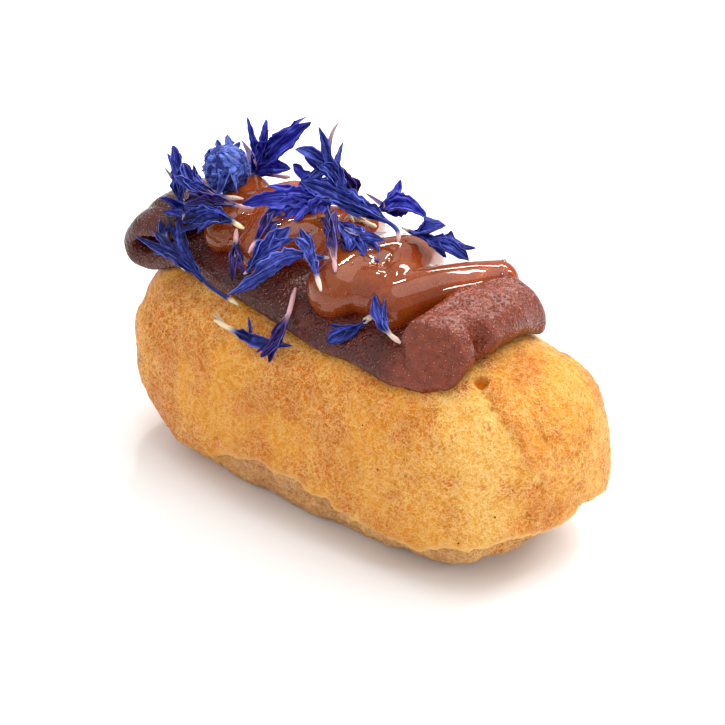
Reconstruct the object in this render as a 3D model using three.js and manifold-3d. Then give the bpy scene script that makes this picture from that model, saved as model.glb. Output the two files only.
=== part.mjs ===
// A mini eclair: a short choux bun, a folded ribbon of chocolate over its
// crown, a zigzag of clear amber gel piped on the ribbon, and dried blue
// flower florets scattered on top. Millimetres, +Z up. X runs along the bun,
// +Y is the far side. The origin is on the flat foot, at the middle of the bun.

import * as THREE from 'three';
import { mergeVertices } from 'three/addons/utils/BufferGeometryUtils.js';
import Module from 'manifold-3d';

const wasm = await Module();
wasm.setup();

// Driving dimensions

const BUN = {
  halfLength: 34, halfWidth: 16, height: 28.5,
  waist: 15,          // height of the widest line
  sink: 0.6,          // how far the round bottom is pressed flat
  endPower: 3.3, topPower: 2.2, footPower: 4,
  rings: 34, sides: 46,
};

const CRUST = {
  lip: 0.8,           // the browned crust stands proud of the pale band under it
  lipStep: 1.0,       // height over which the lip comes out
  lipFade: 7,         // height over which it dies away again
  lipFrom: -20, lipFull: -8,        // the lip starts between these
  ragged: 0.5,        // waviness of the lip's edge
  lumpDepth: 0.35,
  creaseDepth: 1.2, creaseWidth: 1.2,
  lobeSwell: 0.5,     // the dough bulges beside a crease
  smoothTop: [0.45, 0.7], smoothTo: [23, 26],   // the crown is smooth under the ribbon
};

const RIBBON = {
  gap: 0.35,          // clearance over the bun
  thickness: 2.4,
  flapThickness: 2.9, // the fold at the near end is a thick, pressed flap
  edgeInset: 0.6, edgeThin: 0.65,   // rounding of the two long edges
  steps: 48, across: 8,
  liesFrom: -28, liesTo: 21,        // between these the ribbon follows the bun
  turnStart: 0.865, turnEnd: 0.935,   // share of its length where the flap folds
  flapLevel: 0.9,     // how level the flap's top stays across the bun
  flapNarrow: 0.17,   // the flap is narrower than the ribbon under it
  pinchY: -4.2, pinchDepth: 0.9, pinchWidth: 1.4,   // the crease in the fold
};

const GEL = {
  clearance: 0.42,    // over the ribbon, where the cut is made with longer facets
  cutAt: [0, 0.09, 0.2, 0.5, 0.86, 0.93, 1],   // the cut's stretches along the ribbon
  cutSteps: 22, cutAcross: 6,
  ringSides: 10, capRings: 2, stretches: 3,
  lift: 0.4,          // share of the rope's radius that its centre is raised
  arch: 0.7,          // how much a stroke bows up over the crown
};

const FLORET = {
  thickness: 0.28, stretchRows: 2,    // rows for each stretch of the spine
  tubeRadius: 0.42,
  tubeHalfAngle: 2.1,                 // radians; the tube's seam is left open
  opensFrom: 0.6, widenPower: 1.7,    // where on the tube it starts to open, and how fast
  split: 0.4,                         // share of the length where the lobes part
  tipNotch: 0.07, gapNotch: 0.34,     // how far lobes' tips and the gaps stop short
  uneven: 0.07,
  facing: [0.45, -0.5, 0.74],         // the way the open side looks
};

// Small helpers

const smooth = (a, b, x) => {
  const t = Math.min(Math.max((x - a) / (b - a), 0), 1);
  return t * t * (3 - 2 * t);
};

const mix = (a, b, t) => a + (b - a) * t;
const signedPower = (v, p) => Math.sign(v) * Math.abs(v) ** p;
const vector = (p) => new THREE.Vector3(...p);

// Straight-line value at x between [x, value] stops
function along(stops, x) {
  if (x <= stops[0][0]) return stops[0][1];
  for (let i = 1; i < stops.length; i += 1) {
    const [x0, v0] = stops[i - 1];
    const [x1, v1] = stops[i];
    if (x <= x1) return mix(v0, v1, (x - x0) / (x1 - x0));
  }
  return stops[stops.length - 1][1];
}

function geometryFrom({ points, triangles }) {
  const geometry = new THREE.BufferGeometry();
  geometry.setAttribute('position', new THREE.Float32BufferAttribute(points, 3));
  geometry.setIndex(triangles);
  geometry.computeVertexNormals();
  return geometry;
}

function piece(name, shape, material) {
  const mesh = new THREE.Mesh(shape.points ? geometryFrom(shape) : shape, material);
  mesh.name = name;
  return mesh;
}

function toSolid(geometry) {
  const bare = geometry.clone();
  bare.deleteAttribute('normal');
  if (bare.getAttribute('uv')) bare.deleteAttribute('uv');
  const merged = mergeVertices(bare, 1e-4);
  return new wasm.Manifold(new wasm.Mesh({
    numProp: 3,
    vertProperties: Float32Array.from(merged.getAttribute('position').array),
    triVerts: Uint32Array.from(merged.getIndex().array),
  }));
}

function fromSolid(solid) {
  const { vertProperties, triVerts } = solid.getMesh();
  return { points: Array.from(vertProperties), triangles: Array.from(triVerts) };
}

// The choux bun: rounded sections that shrink to a point at both ends

const endShrink = (x) =>
  Math.max(1 - Math.abs(x / BUN.halfLength) ** BUN.endPower, 0) ** (1 / BUN.endPower);

// Height of the smooth crown over a point of the plan
function crown(x, y) {
  const s = endShrink(x);
  const across = Math.min(Math.abs(y) / (BUN.halfWidth * s), 1);
  return BUN.waist + s * (BUN.height - BUN.waist) * (1 - across ** BUN.topPower) ** (1 / BUN.topPower);
}

// Height of the crust's ragged lower edge along the bun
const CRUST_EDGE = [
  [-34, 1], [-22, 1.5], [-16.6, 3], [-8, 7.8], [1.6, 9], [5.3, 8], [8.5, 6], [22, 6.4], [26.5, 8], [34, 9],
];

// Creases of the near end, where lobes of the piped dough meet
const CREASES = [
  [[23.9, -5.4, 26.4], [28.6, -7.5, 23.8], [32, -7.5, 20.5]],
  [[32.2, -8.5, 12], [33.8, -1, 10.5], [33, 5, 9]],
  [[34.6, 1.5, 19], [34.6, -3.6, 16.4], [33.8, -7.1, 13]],
];

// Round swellings of the near end: [centre], reach, height
const SWELLS = [
  [[31, 7, 16], 9, 1.3],
  [[24, -13, 5], 8, 0.9],
  [[33, -3, 17], 6, 0.6],
];

const swellHeight = (p) => SWELLS.reduce(
  (sum, [centre, reach, height]) => sum + height * Math.exp(-((p.distanceTo(vector(centre)) / reach) ** 2)),
  0,
);

function creaseDepth(p) {
  let nearest = Infinity;
  const line = new THREE.Line3();
  const foot = new THREE.Vector3();
  for (const crease of CREASES) {
    for (let i = 1; i < crease.length; i += 1) {
      line.set(vector(crease[i - 1]), vector(crease[i]));
      line.closestPointToPoint(p, true, foot);
      nearest = Math.min(nearest, foot.distanceTo(p));
    }
  }
  const cut = CRUST.creaseDepth * Math.exp(-((nearest / CRUST.creaseWidth) ** 2));
  const swell = CRUST.lobeSwell * Math.exp(-((nearest / (4 * CRUST.creaseWidth)) ** 2));
  return cut - swell;
}

function bunPoint(u, phi) {
  const x = BUN.halfLength * Math.sin(u * Math.PI / 2);
  const s = endShrink(x);
  const c = Math.cos(phi);
  const h = Math.sin(phi);
  const power = h > 0 ? BUN.topPower : BUN.footPower;
  const reach = h > 0 ? BUN.height - BUN.waist : BUN.waist + BUN.sink;
  const p = new THREE.Vector3(
    x,
    BUN.halfWidth * s * signedPower(c, 2 / power),
    BUN.waist + s * reach * signedPower(h, 2 / power),
  );
  const covered = smooth(...CRUST.smoothTop, h) * (1 - smooth(...CRUST.smoothTo, x));
  const lumps = CRUST.lumpDepth * Math.sin(0.31 * x + 2.1 * c) * Math.cos(0.22 * x - 3.3 * h);
  const edge = along(CRUST_EDGE, x) + CRUST.ragged * Math.sin(1.1 * x);
  const lip = CRUST.lip * smooth(CRUST.lipFrom, CRUST.lipFull, x)
    * smooth(edge - CRUST.lipStep, edge, p.z) * (1 - smooth(edge, edge + CRUST.lipFade, p.z));
  const swell = (lumps + lip + swellHeight(p) - creaseDepth(p)) * (1 - covered);
  const out = new THREE.Vector3(x * (1 - s), p.y, p.z - BUN.waist);
  p.addScaledVector(out, swell / out.length());
  p.z = Math.max(p.z, 0);
  return p;
}

function makeBun() {
  const points = [];
  const triangles = [];
  const { rings, sides } = BUN;
  const rows = rings - 1;
  const ring = (i) => 2 + i * sides;
  points.push(...bunPoint(-1, 0), ...bunPoint(1, 0));
  for (let i = 1; i < rings; i += 1) {
    for (let j = 0; j < sides; j += 1) {
      points.push(...bunPoint(-1 + 2 * i / rings, 2 * Math.PI * j / sides));
    }
  }
  for (let j = 0; j < sides; j += 1) {
    const k = (j + 1) % sides;
    triangles.push(0, ring(0) + k, ring(0) + j);
    triangles.push(1, ring(rows - 1) + j, ring(rows - 1) + k);
    for (let i = 0; i < rows - 1; i += 1) {
      triangles.push(ring(i) + j, ring(i) + k, ring(i + 1) + k);
      triangles.push(ring(i) + j, ring(i + 1) + k, ring(i + 1) + j);
    }
  }
  return { points, triangles };
}

// The chocolate ribbon: a flat strip laid along the crown, curled over at the
// far end and folded back on itself at the near end

const lieHeight = (x) => crown(x, 0) + RIBBON.gap + RIBBON.thickness / 2;

const ribbonPath = new THREE.CatmullRomCurve3([
  [-27.0, 31.4], [-30.2, 31.8], [-33.0, 30.9], [-34.6, 28.5], [-34.1, 26.5], [-31.6, 26.1],
  ...[-27, -22, -16, -8, 0, 8, 14, 19].map((x) => [x, lieHeight(x)]),
  [21.3, 29.2], [22.1, 30.8], [21.2, 32.2], [19.0, 32.7], [14.6, 32.7],
].map(([x, z]) => new THREE.Vector3(x, 0, z)));

// How far the strip reaches to the near and the far side of the crown
const NEAR_REACH = [
  [-36, 8.6], [-31, 8.2], [-27, 7.8], [-22, 8.9], [-10, 10.5],
  [2, 11.7], [14, 12], [18.5, 11.2], [20.5, 10], [24, 8.8],
];
const FAR_REACH = [[-36, 8.6], [-28, 9.5], [-10, 10.6], [2, 11.2], [14, 11.2], [19, 10.8], [24, 9.8]];

function ribbonDrop(x, y) {
  const at = Math.min(Math.max(x, RIBBON.liesFrom), RIBBON.liesTo);
  return crown(at, y) - crown(at, 0);
}

// Outline of the strip's section: [sideways -1..1, through -1..1] pairs
function stripSection(across) {
  const row = Array.from({ length: across + 1 }, (_, i) => -1 + 2 * i / across);
  return [
    ...row.map((a) => [a, -1]), [1, 0],
    ...row.reverse().map((a) => [a, 1]), [-1, 0],
  ];
}

// A stretch of the strip between two shares of its length, fattened by grow
function makeStrip(from, to, grow, stepsAlong, across) {
  const points = [];
  const triangles = [];
  const section = stripSection(across);
  const n = section.length;
  const steps = Math.max(Math.round(stepsAlong * (to - from)), 1);
  for (let i = 0; i <= steps; i += 1) {
    const share = mix(from, to, i / steps);
    const centre = ribbonPath.getPointAt(share);
    const tangent = ribbonPath.getTangentAt(share);
    const outward = new THREE.Vector3(tangent.z, 0, -tangent.x);
    const folded = smooth(RIBBON.turnStart, RIBBON.turnEnd, share);
    const half = mix(RIBBON.thickness, RIBBON.flapThickness, folded) / 2 + grow;
    const turn = folded * (1 - folded) * 4;
    if (grow && i === 0) centre.addScaledVector(tangent, -grow);
    if (grow && i === steps) centre.addScaledVector(tangent, grow);
    for (const [sideways, through] of section) {
      const edge = Math.abs(sideways) === 1;
      const widest = along(sideways < 0 ? NEAR_REACH : FAR_REACH, centre.x);
      const reach = widest * (1 - RIBBON.flapNarrow * folded) + grow;
      const y = sideways * reach - (edge && through ? sideways * RIBBON.edgeInset : 0);
      const pinch = RIBBON.pinchDepth * turn * (through > 0 ? 1 : 0)
        * Math.exp(-(((y - RIBBON.pinchY) / RIBBON.pinchWidth) ** 2));
      const rise = half * through * (edge ? RIBBON.edgeThin : 1) - pinch;
      const level = 1 - RIBBON.flapLevel * folded * (through + 1) / 2;
      const p = centre.clone().addScaledVector(outward, rise);
      points.push(p.x, y, p.z + ribbonDrop(centre.x, y) * level);
    }
  }
  for (let i = 0; i < steps; i += 1) {
    for (let j = 0; j < n; j += 1) {
      const k = (j + 1) % n;
      const a = i * n;
      const b = a + n;
      triangles.push(a + j, b + k, a + k, a + j, b + j, b + k);
    }
  }
  const closeEnd = (base, flip) => {
    const face = (a, b, c) => triangles.push(base + a, base + (flip ? c : b), base + (flip ? b : c));
    for (let i = 0; i < across; i += 1) {
      face(i, i + 1, n - 3 - i);
      face(i, n - 3 - i, n - 2 - i);
    }
    face(n - 1, 0, n - 2);
    face(across, across + 1, across + 2);
  };
  closeEnd(0, false);
  closeEnd(steps * n, true);
  return { points, triangles };
}

// The gel: straight strokes of a thick rope, zigzagging over the ribbon and
// run together. Each turn is [x, y, radius, extra lift].

const TURNS = [
  [-24.4, 5.0, 3.2, 1.1],
  [-20.6, -3.6, 2.9, 0],
  [-18.0, 7.0, 3.2, 0.9],
  [-13.0, -4.8, 3.4, 0],
  [-6.4, 7.0, 3.2, 0.6],
  [0.8, -6.0, 3.9, -0.4],
  [3.8, 6.4, 3.3, 0],
  [9.2, -4.9, 3.2, 0],
  [16.0, 8.0, 2.5, 1.9],
];

// Where the strokes have sunk together: along the middle, and between two turns
const POOLS = [
  [[-21, 0.6, 3.4, -1.4], [11, 0.4, 3.6, -1.4]],
  [[-19.5, -2.5, 2.8, -0.8], [-13.5, -3.5, 3, -0.8]],
  [[2.5, -4.5, 3.2, -0.7], [9, -4, 3.2, -0.7]],
];

const ribbonTop = (x, y) => lieHeight(x) + RIBBON.thickness / 2 + ribbonDrop(x, y);

function makeStroke([x0, y0, r0, lift0], [x1, y1, r1, lift1]) {
  const start = new THREE.Vector3(x0, y0, ribbonTop(x0, y0) + GEL.lift * r0 + lift0);
  const end = new THREE.Vector3(x1, y1, ribbonTop(x1, y1) + GEL.lift * r1 + lift1);
  const length = start.distanceTo(end);
  const stroke = new THREE.CapsuleGeometry(1, length, GEL.capRings, GEL.ringSides, GEL.stretches);
  const position = stroke.getAttribute('position');
  const p = new THREE.Vector3();
  for (let i = 0; i < position.count; i += 1) {
    p.fromBufferAttribute(position, i);
    const share = Math.min(Math.max(p.y / length + 0.5, 0), 1);
    const radius = mix(r0, r1, share);
    const axial = p.y - (share - 0.5) * length;
    p.set(p.x * radius, (share - 0.5) * length + axial * radius, p.z * radius);
    position.setXYZ(i, p.x, p.y, p.z);
  }
  const direction = end.clone().sub(start).normalize();
  stroke.applyQuaternion(new THREE.Quaternion().setFromUnitVectors(new THREE.Vector3(0, 1, 0), direction));
  stroke.translate(...start.clone().add(end).multiplyScalar(0.5));
  const bow = stroke.getAttribute('position');
  for (let i = 0; i < bow.count; i += 1) {
    const share = p.fromBufferAttribute(bow, i).sub(start).dot(direction) / length;
    const arch = Math.min(Math.max(4 * share * (1 - share), 0), 1);
    bow.setZ(i, bow.getZ(i) + GEL.arch * arch);
  }
  return toSolid(stroke);
}

function makeGel() {
  let gel = makeStroke(TURNS[0], TURNS[1]);
  for (const pool of POOLS) gel = gel.add(makeStroke(...pool));
  for (let i = 2; i < TURNS.length; i += 1) gel = gel.add(makeStroke(TURNS[i - 1], TURNS[i]));
  const { cutAt, clearance, cutSteps, cutAcross } = GEL;
  for (let i = 1; i < cutAt.length; i += 1) {
    const stretch = makeStrip(cutAt[i - 1], cutAt[i], clearance, cutSteps, cutAcross);
    gel = gel.subtract(toSolid(geometryFrom(stretch)));
  }
  const bodies = gel.decompose().sort((a, b) => b.volume() - a.volume());
  return fromSolid(bodies[0]);
}

// The dried florets: a thin tube that opens into a fan of pointed lobes. spine is
// the line the floret follows, width that of its opened fan, roll turns the open
// side in degrees, cup is the fan's half angle in degrees, tube the share that
// stays a tube.

const FLORETS = {
  upright_left: {
    spine: [[-25.8, -6.2, 32], [-29.5, -3.3, 34.9], [-32.1, -1.4, 39.4]],
    width: 5.0, lobes: 3, roll: 20, cup: 55, tube: 0.25,
  },
  curl_left: {
    spine: [[-19.9, -1.1, 35.5], [-24, -3.5, 36.1], [-29.6, -1.8, 38.1]],
    width: 3.4, lobes: 3, roll: 0, cup: 55, tube: 0.4,
  },
  dark_across: {
    spine: [[-16.2, -3.2, 36.3], [-20.2, -4.7, 36.3], [-26.2, -5.7, 35.3]],
    width: 4.6, lobes: 3, roll: 10, cup: 75, tube: 0.3,
  },
  dark_under: {
    spine: [[-14.5, -7, 35.5], [-18.5, -7, 36], [-23.5, -7.5, 34.5]],
    width: 4.8, lobes: 3, roll: -30, cup: 50, tube: 0.3,
  },
  edge_long: {
    spine: [[-12.2, -10.9, 26.6], [-17.7, -11.6, 28.6], [-27.5, -8.6, 30.8]],
    width: 5.4, lobes: 4, roll: 0, cup: 45, tube: 0.45,
  },
  edge_tube: {
    spine: [[-22.4, -10, 27.6], [-26.9, -8.5, 29.1], [-28.9, -8, 31.6]],
    width: 2.2, lobes: 2, roll: 0, cup: 60, tube: 0.55,
  },
  big_fan: {
    spine: [[-24.4, 5.7, 34.9], [-23.1, 6.7, 38.3], [-20.8, 8.8, 42.9]],
    width: 11, lobes: 5, roll: 0, cup: 25, tube: 0.1,
  },
  back_tube: {
    spine: [[-19.4, 7.8, 35.3], [-22, 7.1, 35], [-24.9, 7.2, 34.4]],
    width: 2.6, lobes: 2, roll: 0, cup: 80, tube: 0.5,
  },
  centre_bright: {
    spine: [[-6.9, 5.7, 36.3], [-10.9, 1.6, 37.5], [-15.7, -4.3, 37.1]],
    width: 7.6, lobes: 3, roll: 0, cup: 28, tube: 0.22,
  },
  tall: {
    spine: [[-3.4, 2, 36.6], [-6.1, 2.7, 39.4], [-8.3, 3.3, 42.8], [-10.1, 4.1, 46.4]],
    width: 5.2, lobes: 3, roll: 0, cup: 55, tube: 0.25,
  },
  fan_left: {
    spine: [[-10.3, 7.6, 34.7], [-13.7, 7.7, 35.4], [-17.2, 7.3, 36.2]],
    width: 5, lobes: 3, roll: 0, cup: 35, tube: 0.2,
  },
  lean_right: {
    spine: [[-7.4, 7.7, 36.2], [-9, 7.8, 38], [-10.9, 7.1, 40]],
    width: 2.4, lobes: 2, roll: 0, cup: 60, tube: 0.3,
  },
  long_back: {
    spine: [[4.5, 1.6, 36.7], [3.9, 2.1, 38], [1.4, 2.2, 38.7], [-2.1, 2.3, 38.9], [-5.2, 2.1, 39.2]],
    width: 3.6, lobes: 3, roll: 0, cup: 45, tube: 0.35,
  },
  long_right: {
    spine: [[2, 5.4, 36.3], [6.6, 4.4, 36.9], [10.1, 5.1, 36.7], [13.5, 5.9, 36.3]],
    width: 5.0, lobes: 4, roll: 0, cup: 45, tube: 0.3,
  },
  fan_right: {
    spine: [[-5.4, 9.2, 34.7], [-3.5, 11, 35.5], [-1.7, 13.3, 36.7]],
    width: 7.2, lobes: 4, roll: 0, cup: 28, tube: 0.15,
  },
  cream_bulb: {
    spine: [[-1.2, 4, 35.8], [-2.7, 3.5, 36.3], [-4.2, 3.5, 36.8]],
    width: 1.8, lobes: 2, roll: 0, cup: 90, tube: 0.6,
  },
  dark_blue: {
    spine: [[-4.7, 0.1, 37.3], [0.3, -1.8, 37.1], [4.8, -2.2, 36.1]],
    width: 6, lobes: 3, roll: 0, cup: 35, tube: 0.15,
  },
  upright_dark: {
    spine: [[1.9, -7.9, 35.5], [0.1, -6.1, 37.3], [-5.5, -0.8, 39.5]],
    width: 2.8, lobes: 2, roll: 0, cup: 60, tube: 0.35,
  },
  hanging: {
    spine: [[2.4, -11.3, 34.4], [-1.9, -8.2, 36.6], [-5.9, -5.9, 38.4]],
    width: 3.0, lobes: 2, roll: 0, cup: 40, tube: 0.35,
  },
  purple: {
    spine: [[-11.7, -9.2, 33.9], [-12.2, -6.2, 35.4], [-12.7, -3.2, 36.9]],
    width: 3.0, lobes: 3, roll: 0, cup: 70, tube: 0.35,
  },
  wide_blue: {
    spine: [[-11.1, -10.8, 31.6], [-9.8, -8.8, 34.2], [-8.4, -5, 37.2]],
    width: 4.8, lobes: 3, roll: 0, cup: 35, tube: 0.15,
  },
  blade: {
    spine: [[-0.4, -6.4, 36], [-3.3, -8.1, 36], [-6.5, -10.5, 33.8], [-11.3, -12.3, 29.4]],
    width: 2.8, lobes: 2, roll: 0, cup: 35, tube: 0.2,
  },
  bud: {
    spine: [[-16.9, -5.8, 34], [-14.7, -8.5, 32.8], [-12.2, -10.8, 30.4]],
    width: 2.6, lobes: 3, roll: 0, cup: 75, tube: 0.3,
  },
  edge_drop: {
    spine: [[-4.8, -8, 30.6], [-3.2, -11.3, 28.8], [-2.9, -13.7, 26.4], [-3.6, -15.5, 24]],
    width: 3.8, lobes: 3, roll: 0, cup: 50, tube: 0.4,
  },
  on_crust: {
    spine: [[-14.6, -13, 24.3], [-8.1, -13.2, 24.3], [-1.7, -12, 24.9]],
    width: 2.2, lobes: 2, roll: 0, cup: 40, tube: 0.35,
  },
  front_grey: {
    spine: [[7.7, -7.8, 31], [6.7, -9.3, 29.8], [3.5, -11.1, 28.2]],
    width: 4, lobes: 3, roll: 0, cup: 45, tube: 0.25,
  },
  front_right: {
    spine: [[13.6, -9, 29.9], [11.2, -9.3, 31.5], [8.8, -7.8, 34.3]],
    width: 2.4, lobes: 2, roll: 0, cup: 60, tube: 0.4,
  },
};

// One floret has shrivelled into a ball with deep folds
const BALL = {
  centre: [-24.5, 0.8, 37.9], radius: 2.9, sides: 20, rings: 12,
  folds: 0.13, foldCount: 6,          // depth and number of the folds
  twist: 1.6, twistCount: 3,          // how far they wander, and how often
};

function makeBall() {
  const ball = new THREE.SphereGeometry(BALL.radius, BALL.sides, BALL.rings);
  const position = ball.getAttribute('position');
  const p = new THREE.Vector3();
  for (let i = 0; i < position.count; i += 1) {
    p.fromBufferAttribute(position, i).divideScalar(BALL.radius);
    const around = Math.atan2(p.z, p.x);
    const belt = Math.hypot(p.x, p.z);
    const fold = belt * Math.sin(BALL.foldCount * around + BALL.twist * Math.sin(BALL.twistCount * p.y));
    p.multiplyScalar(BALL.radius * (1 + BALL.folds * fold)).add(vector(BALL.centre));
    position.setXYZ(i, p.x, p.y, p.z);
  }
  return fromSolid(toSolid(ball));
}

// One point of a floret: s runs from the base of the tube to the lobes' tips,
// t from -1 to 1 across the opened tube. A notch ends the surface early, and
// offset is the way out from the middle of the petal's thickness.
function floretPoint(floret, curve, s, t, notch, offset) {
  const { split } = FLORET;
  const reach = s < split ? s : mix(split, 1 - notch, (s - split) / (1 - split));
  const centre = curve.getPoint(reach);
  const tangent = curve.getTangent(reach);
  const facing = vector(FLORET.facing).addScaledVector(tangent, -vector(FLORET.facing).dot(tangent)).normalize();
  facing.applyAxisAngle(tangent, THREE.MathUtils.degToRad(floret.roll));
  const side = tangent.clone().cross(facing);
  const opens = floret.tube * FLORET.opensFrom;
  const widen = 1 - Math.min((1 - reach) / (1 - opens), 1) ** FLORET.widenPower;
  const open = smooth(opens, split, reach);
  const halfArc = mix(FLORET.tubeRadius * FLORET.tubeHalfAngle, floret.width / 2, widen);
  const halfAngle = mix(FLORET.tubeHalfAngle, THREE.MathUtils.degToRad(floret.cup), open);
  const radius = halfArc / halfAngle;
  const angle = halfAngle * t;
  return centre
    .addScaledVector(side, (radius + offset) * Math.sin(angle))
    .addScaledVector(facing, radius * open - (radius + offset) * Math.cos(angle));
}

function makeFloret(floret, index) {
  const curve = new THREE.CatmullRomCurve3(floret.spine.map(vector));
  const columns = 2 * floret.lobes;
  const rows = FLORET.stretchRows * (floret.spine.length - 1);
  const { thickness } = FLORET;
  const points = [];
  for (const side of [1, -1]) {
    for (let j = 0; j <= columns; j += 1) {
      const notch = (j % 2 === 1 ? FLORET.tipNotch : FLORET.gapNotch)
        + FLORET.uneven * Math.sin(2.3 * j + index);
      for (let i = 0; i <= rows; i += 1) {
        const t = -1 + 2 * j / columns;
        points.push(...floretPoint(floret, curve, i / rows, t, notch, side * thickness / 2));
      }
    }
  }
  const count = (rows + 1) * (columns + 1);
  const id = (j, i) => j * (rows + 1) + i;
  const triangles = [];
  const quad = (a, b, c, d) => triangles.push(a, b, c, a, c, d);
  for (let j = 0; j < columns; j += 1) {
    for (let i = 0; i < rows; i += 1) {
      const [a, b, c, d] = [id(j, i), id(j, i + 1), id(j + 1, i + 1), id(j + 1, i)];
      quad(a, b, c, d);
      triangles.push(count + a, count + c, count + b, count + a, count + d, count + c);
    }
  }
  const rim = (a, b) => quad(b, a, count + a, count + b);
  for (let i = 0; i < rows; i += 1) {
    rim(id(0, i), id(0, i + 1));
    rim(id(columns, i + 1), id(columns, i));
  }
  for (let j = 0; j < columns; j += 1) {
    rim(id(j + 1, 0), id(j, 0));
    rim(id(j, rows), id(j + 1, rows));
  }
  return { points, triangles };
}

// Materials

const skin = (color, roughness) => new THREE.MeshStandardMaterial({ color, roughness, metalness: 0 });
const CHOUX = skin(0xd9a05a, 0.65);
const CHOCOLATE = skin(0x6b382f, 0.5);
const AMBER = skin(0xa0552c, 0.15);
const PETAL = skin(0x3340a8, 0.6);

const eclair = new THREE.Group();
eclair.add(piece('choux_bun', makeBun(), CHOUX));
eclair.add(piece('chocolate_ribbon', makeStrip(0, 1, 0, RIBBON.steps, RIBBON.across), CHOCOLATE));
eclair.add(piece('gel', makeGel(), AMBER));
eclair.add(piece('floret_ball', makeBall(), PETAL));
Object.entries(FLORETS).forEach(([name, floret], index) => {
  eclair.add(piece(`floret_${name}`, makeFloret(floret, index), PETAL));
});

export default eclair;
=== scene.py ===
# %% [markdown]
# # A mini eclair
#
# The object is a short bun of choux pastry. A ribbon of chocolate lies along its crown, curled
# over at one end and folded back at the other. Clear amber gel is piped on the ribbon in a
# zigzag, and dried blue florets are scattered over it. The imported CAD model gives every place
# and size, and each solid in it is replaced by a finer piece of the same form.

import math

import bpy
import numpy as np
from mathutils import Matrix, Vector


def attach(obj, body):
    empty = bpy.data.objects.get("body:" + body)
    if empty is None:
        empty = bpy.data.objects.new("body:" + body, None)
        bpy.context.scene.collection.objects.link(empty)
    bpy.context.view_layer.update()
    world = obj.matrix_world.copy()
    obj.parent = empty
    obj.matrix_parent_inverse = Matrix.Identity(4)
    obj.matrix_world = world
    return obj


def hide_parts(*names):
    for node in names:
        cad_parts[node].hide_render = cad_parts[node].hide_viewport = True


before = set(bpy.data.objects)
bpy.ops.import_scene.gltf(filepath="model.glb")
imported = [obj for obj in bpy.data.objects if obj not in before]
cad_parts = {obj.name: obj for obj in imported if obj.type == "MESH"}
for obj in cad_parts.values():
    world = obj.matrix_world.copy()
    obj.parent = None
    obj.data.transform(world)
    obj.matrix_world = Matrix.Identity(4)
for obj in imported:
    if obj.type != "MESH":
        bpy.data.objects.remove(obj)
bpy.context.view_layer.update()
NODES = sorted(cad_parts)
MM = 0.001
print("CAD nodes:", len(NODES))

# %% [markdown]
# ## Small tools
#
# Shapes are worked out in millimetres as whole arrays of points. A smooth step blends one state
# into the next, and random hills give dough and petals their uneven look. Hills could come from
# Blender's own textures, but numbers of our own give the same surface on every run.

# %% Blends and hills


def smooth_step(a, b, x):
    """0 below a, 1 above b, and the S-shaped ramp 3t^2 - 2t^3 between them."""
    t = np.clip((x - a) / (b - a), 0, 1)
    return t * t * (3 - 2 * t)


def mix(a, b, t):
    """The point a share t of the way from a to b."""
    return a + (b - a) * t


def signed_power(v, power):
    """The size of v raised to a power, with v's sign kept."""
    return np.sign(v) * np.abs(v) ** power


def unit(v):
    """Vectors of length one in the same directions."""
    return v / np.maximum(np.linalg.norm(v, axis=-1, keepdims=True), 1e-9)


MIX_A, MIX_B, MIX_C, MIX_D, MIX_E = 73856093, 19349663, 83492791, 26544357, 1274126177
SIXTEEN_BITS = 0xFFFF


def cell_value(cell, seed):
    """A fixed random number 0..1 for a cell: its three whole numbers are multiplied by large
    odd numbers, mixed bit by bit, and the last sixteen bits are kept."""
    n = (cell[..., 0] * MIX_A) ^ (cell[..., 1] * MIX_B) ^ (cell[..., 2] * MIX_C)
    n = n ^ (seed * MIX_D)
    n = (n ^ (n >> 13)) * MIX_E
    n = n ^ (n >> 16)
    return (n & SIXTEEN_BITS) / SIXTEEN_BITS


def hills(points, size, seed=0):
    """Smooth random hills from -1 to 1: a random value at each corner of a cube of the given
    size, blended across the cube by the smooth step."""
    q = np.asarray(points) / size
    corner = np.floor(q).astype(np.int64)
    f = q - corner
    f = f * f * (3 - 2 * f)
    total = np.zeros(q.shape[:-1])
    for step in np.ndindex(2, 2, 2):
        weight = np.prod(np.where(step, f, 1 - f), axis=-1)
        total += weight * cell_value(corner + np.array(step), seed)
    return 2 * total - 1


def rough_hills(points, size, seed=0, octaves=3):
    """Hills with smaller hills on them, each layer half the size and half the height."""
    return sum(hills(points, size / 2 ** k, seed + k) / 2 ** k for k in range(octaves))


print("hills at the origin:", round(float(rough_hills(np.zeros(3), 5.0)), 3))

# %% [markdown]
# ## From points to meshes
#
# Most pieces are a grid of points: rows along the piece and columns round or across it. Four
# neighbours make a face. A closed form, such as the bun, has its columns joined into rings and a
# pole point at each end, so that it has no hole and no seam.

# %% Grids, rings and balls


def grid_faces(rows, columns, closed=False, start=0):
    """Four-sided faces of a grid numbered row by row; closed joins the last column to the
    first."""
    index = np.arange(rows * columns).reshape(rows, columns) + start
    if closed:
        index = np.hstack([index, index[:, :1]])
    corners = [index[:-1, :-1], index[:-1, 1:], index[1:, 1:], index[1:, :-1]]
    return np.stack(corners, axis=-1).reshape(-1, 4)


def ring_faces(rings, sides):
    """Faces of closed rings with a pole at each end: the rings come first in the numbering,
    then the first pole and the last."""
    first, last = rings * sides, rings * sides + 1
    around = np.arange(sides)
    after = (around + 1) % sides
    top = (rings - 1) * sides
    wall = grid_faces(rings, sides, closed=True)
    at_first = np.stack([np.full(sides, first), after, around], axis=-1)
    at_last = np.stack([np.full(sides, last), top + around, top + after], axis=-1)
    return wall.tolist() + at_first.tolist() + at_last.tolist()


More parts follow.
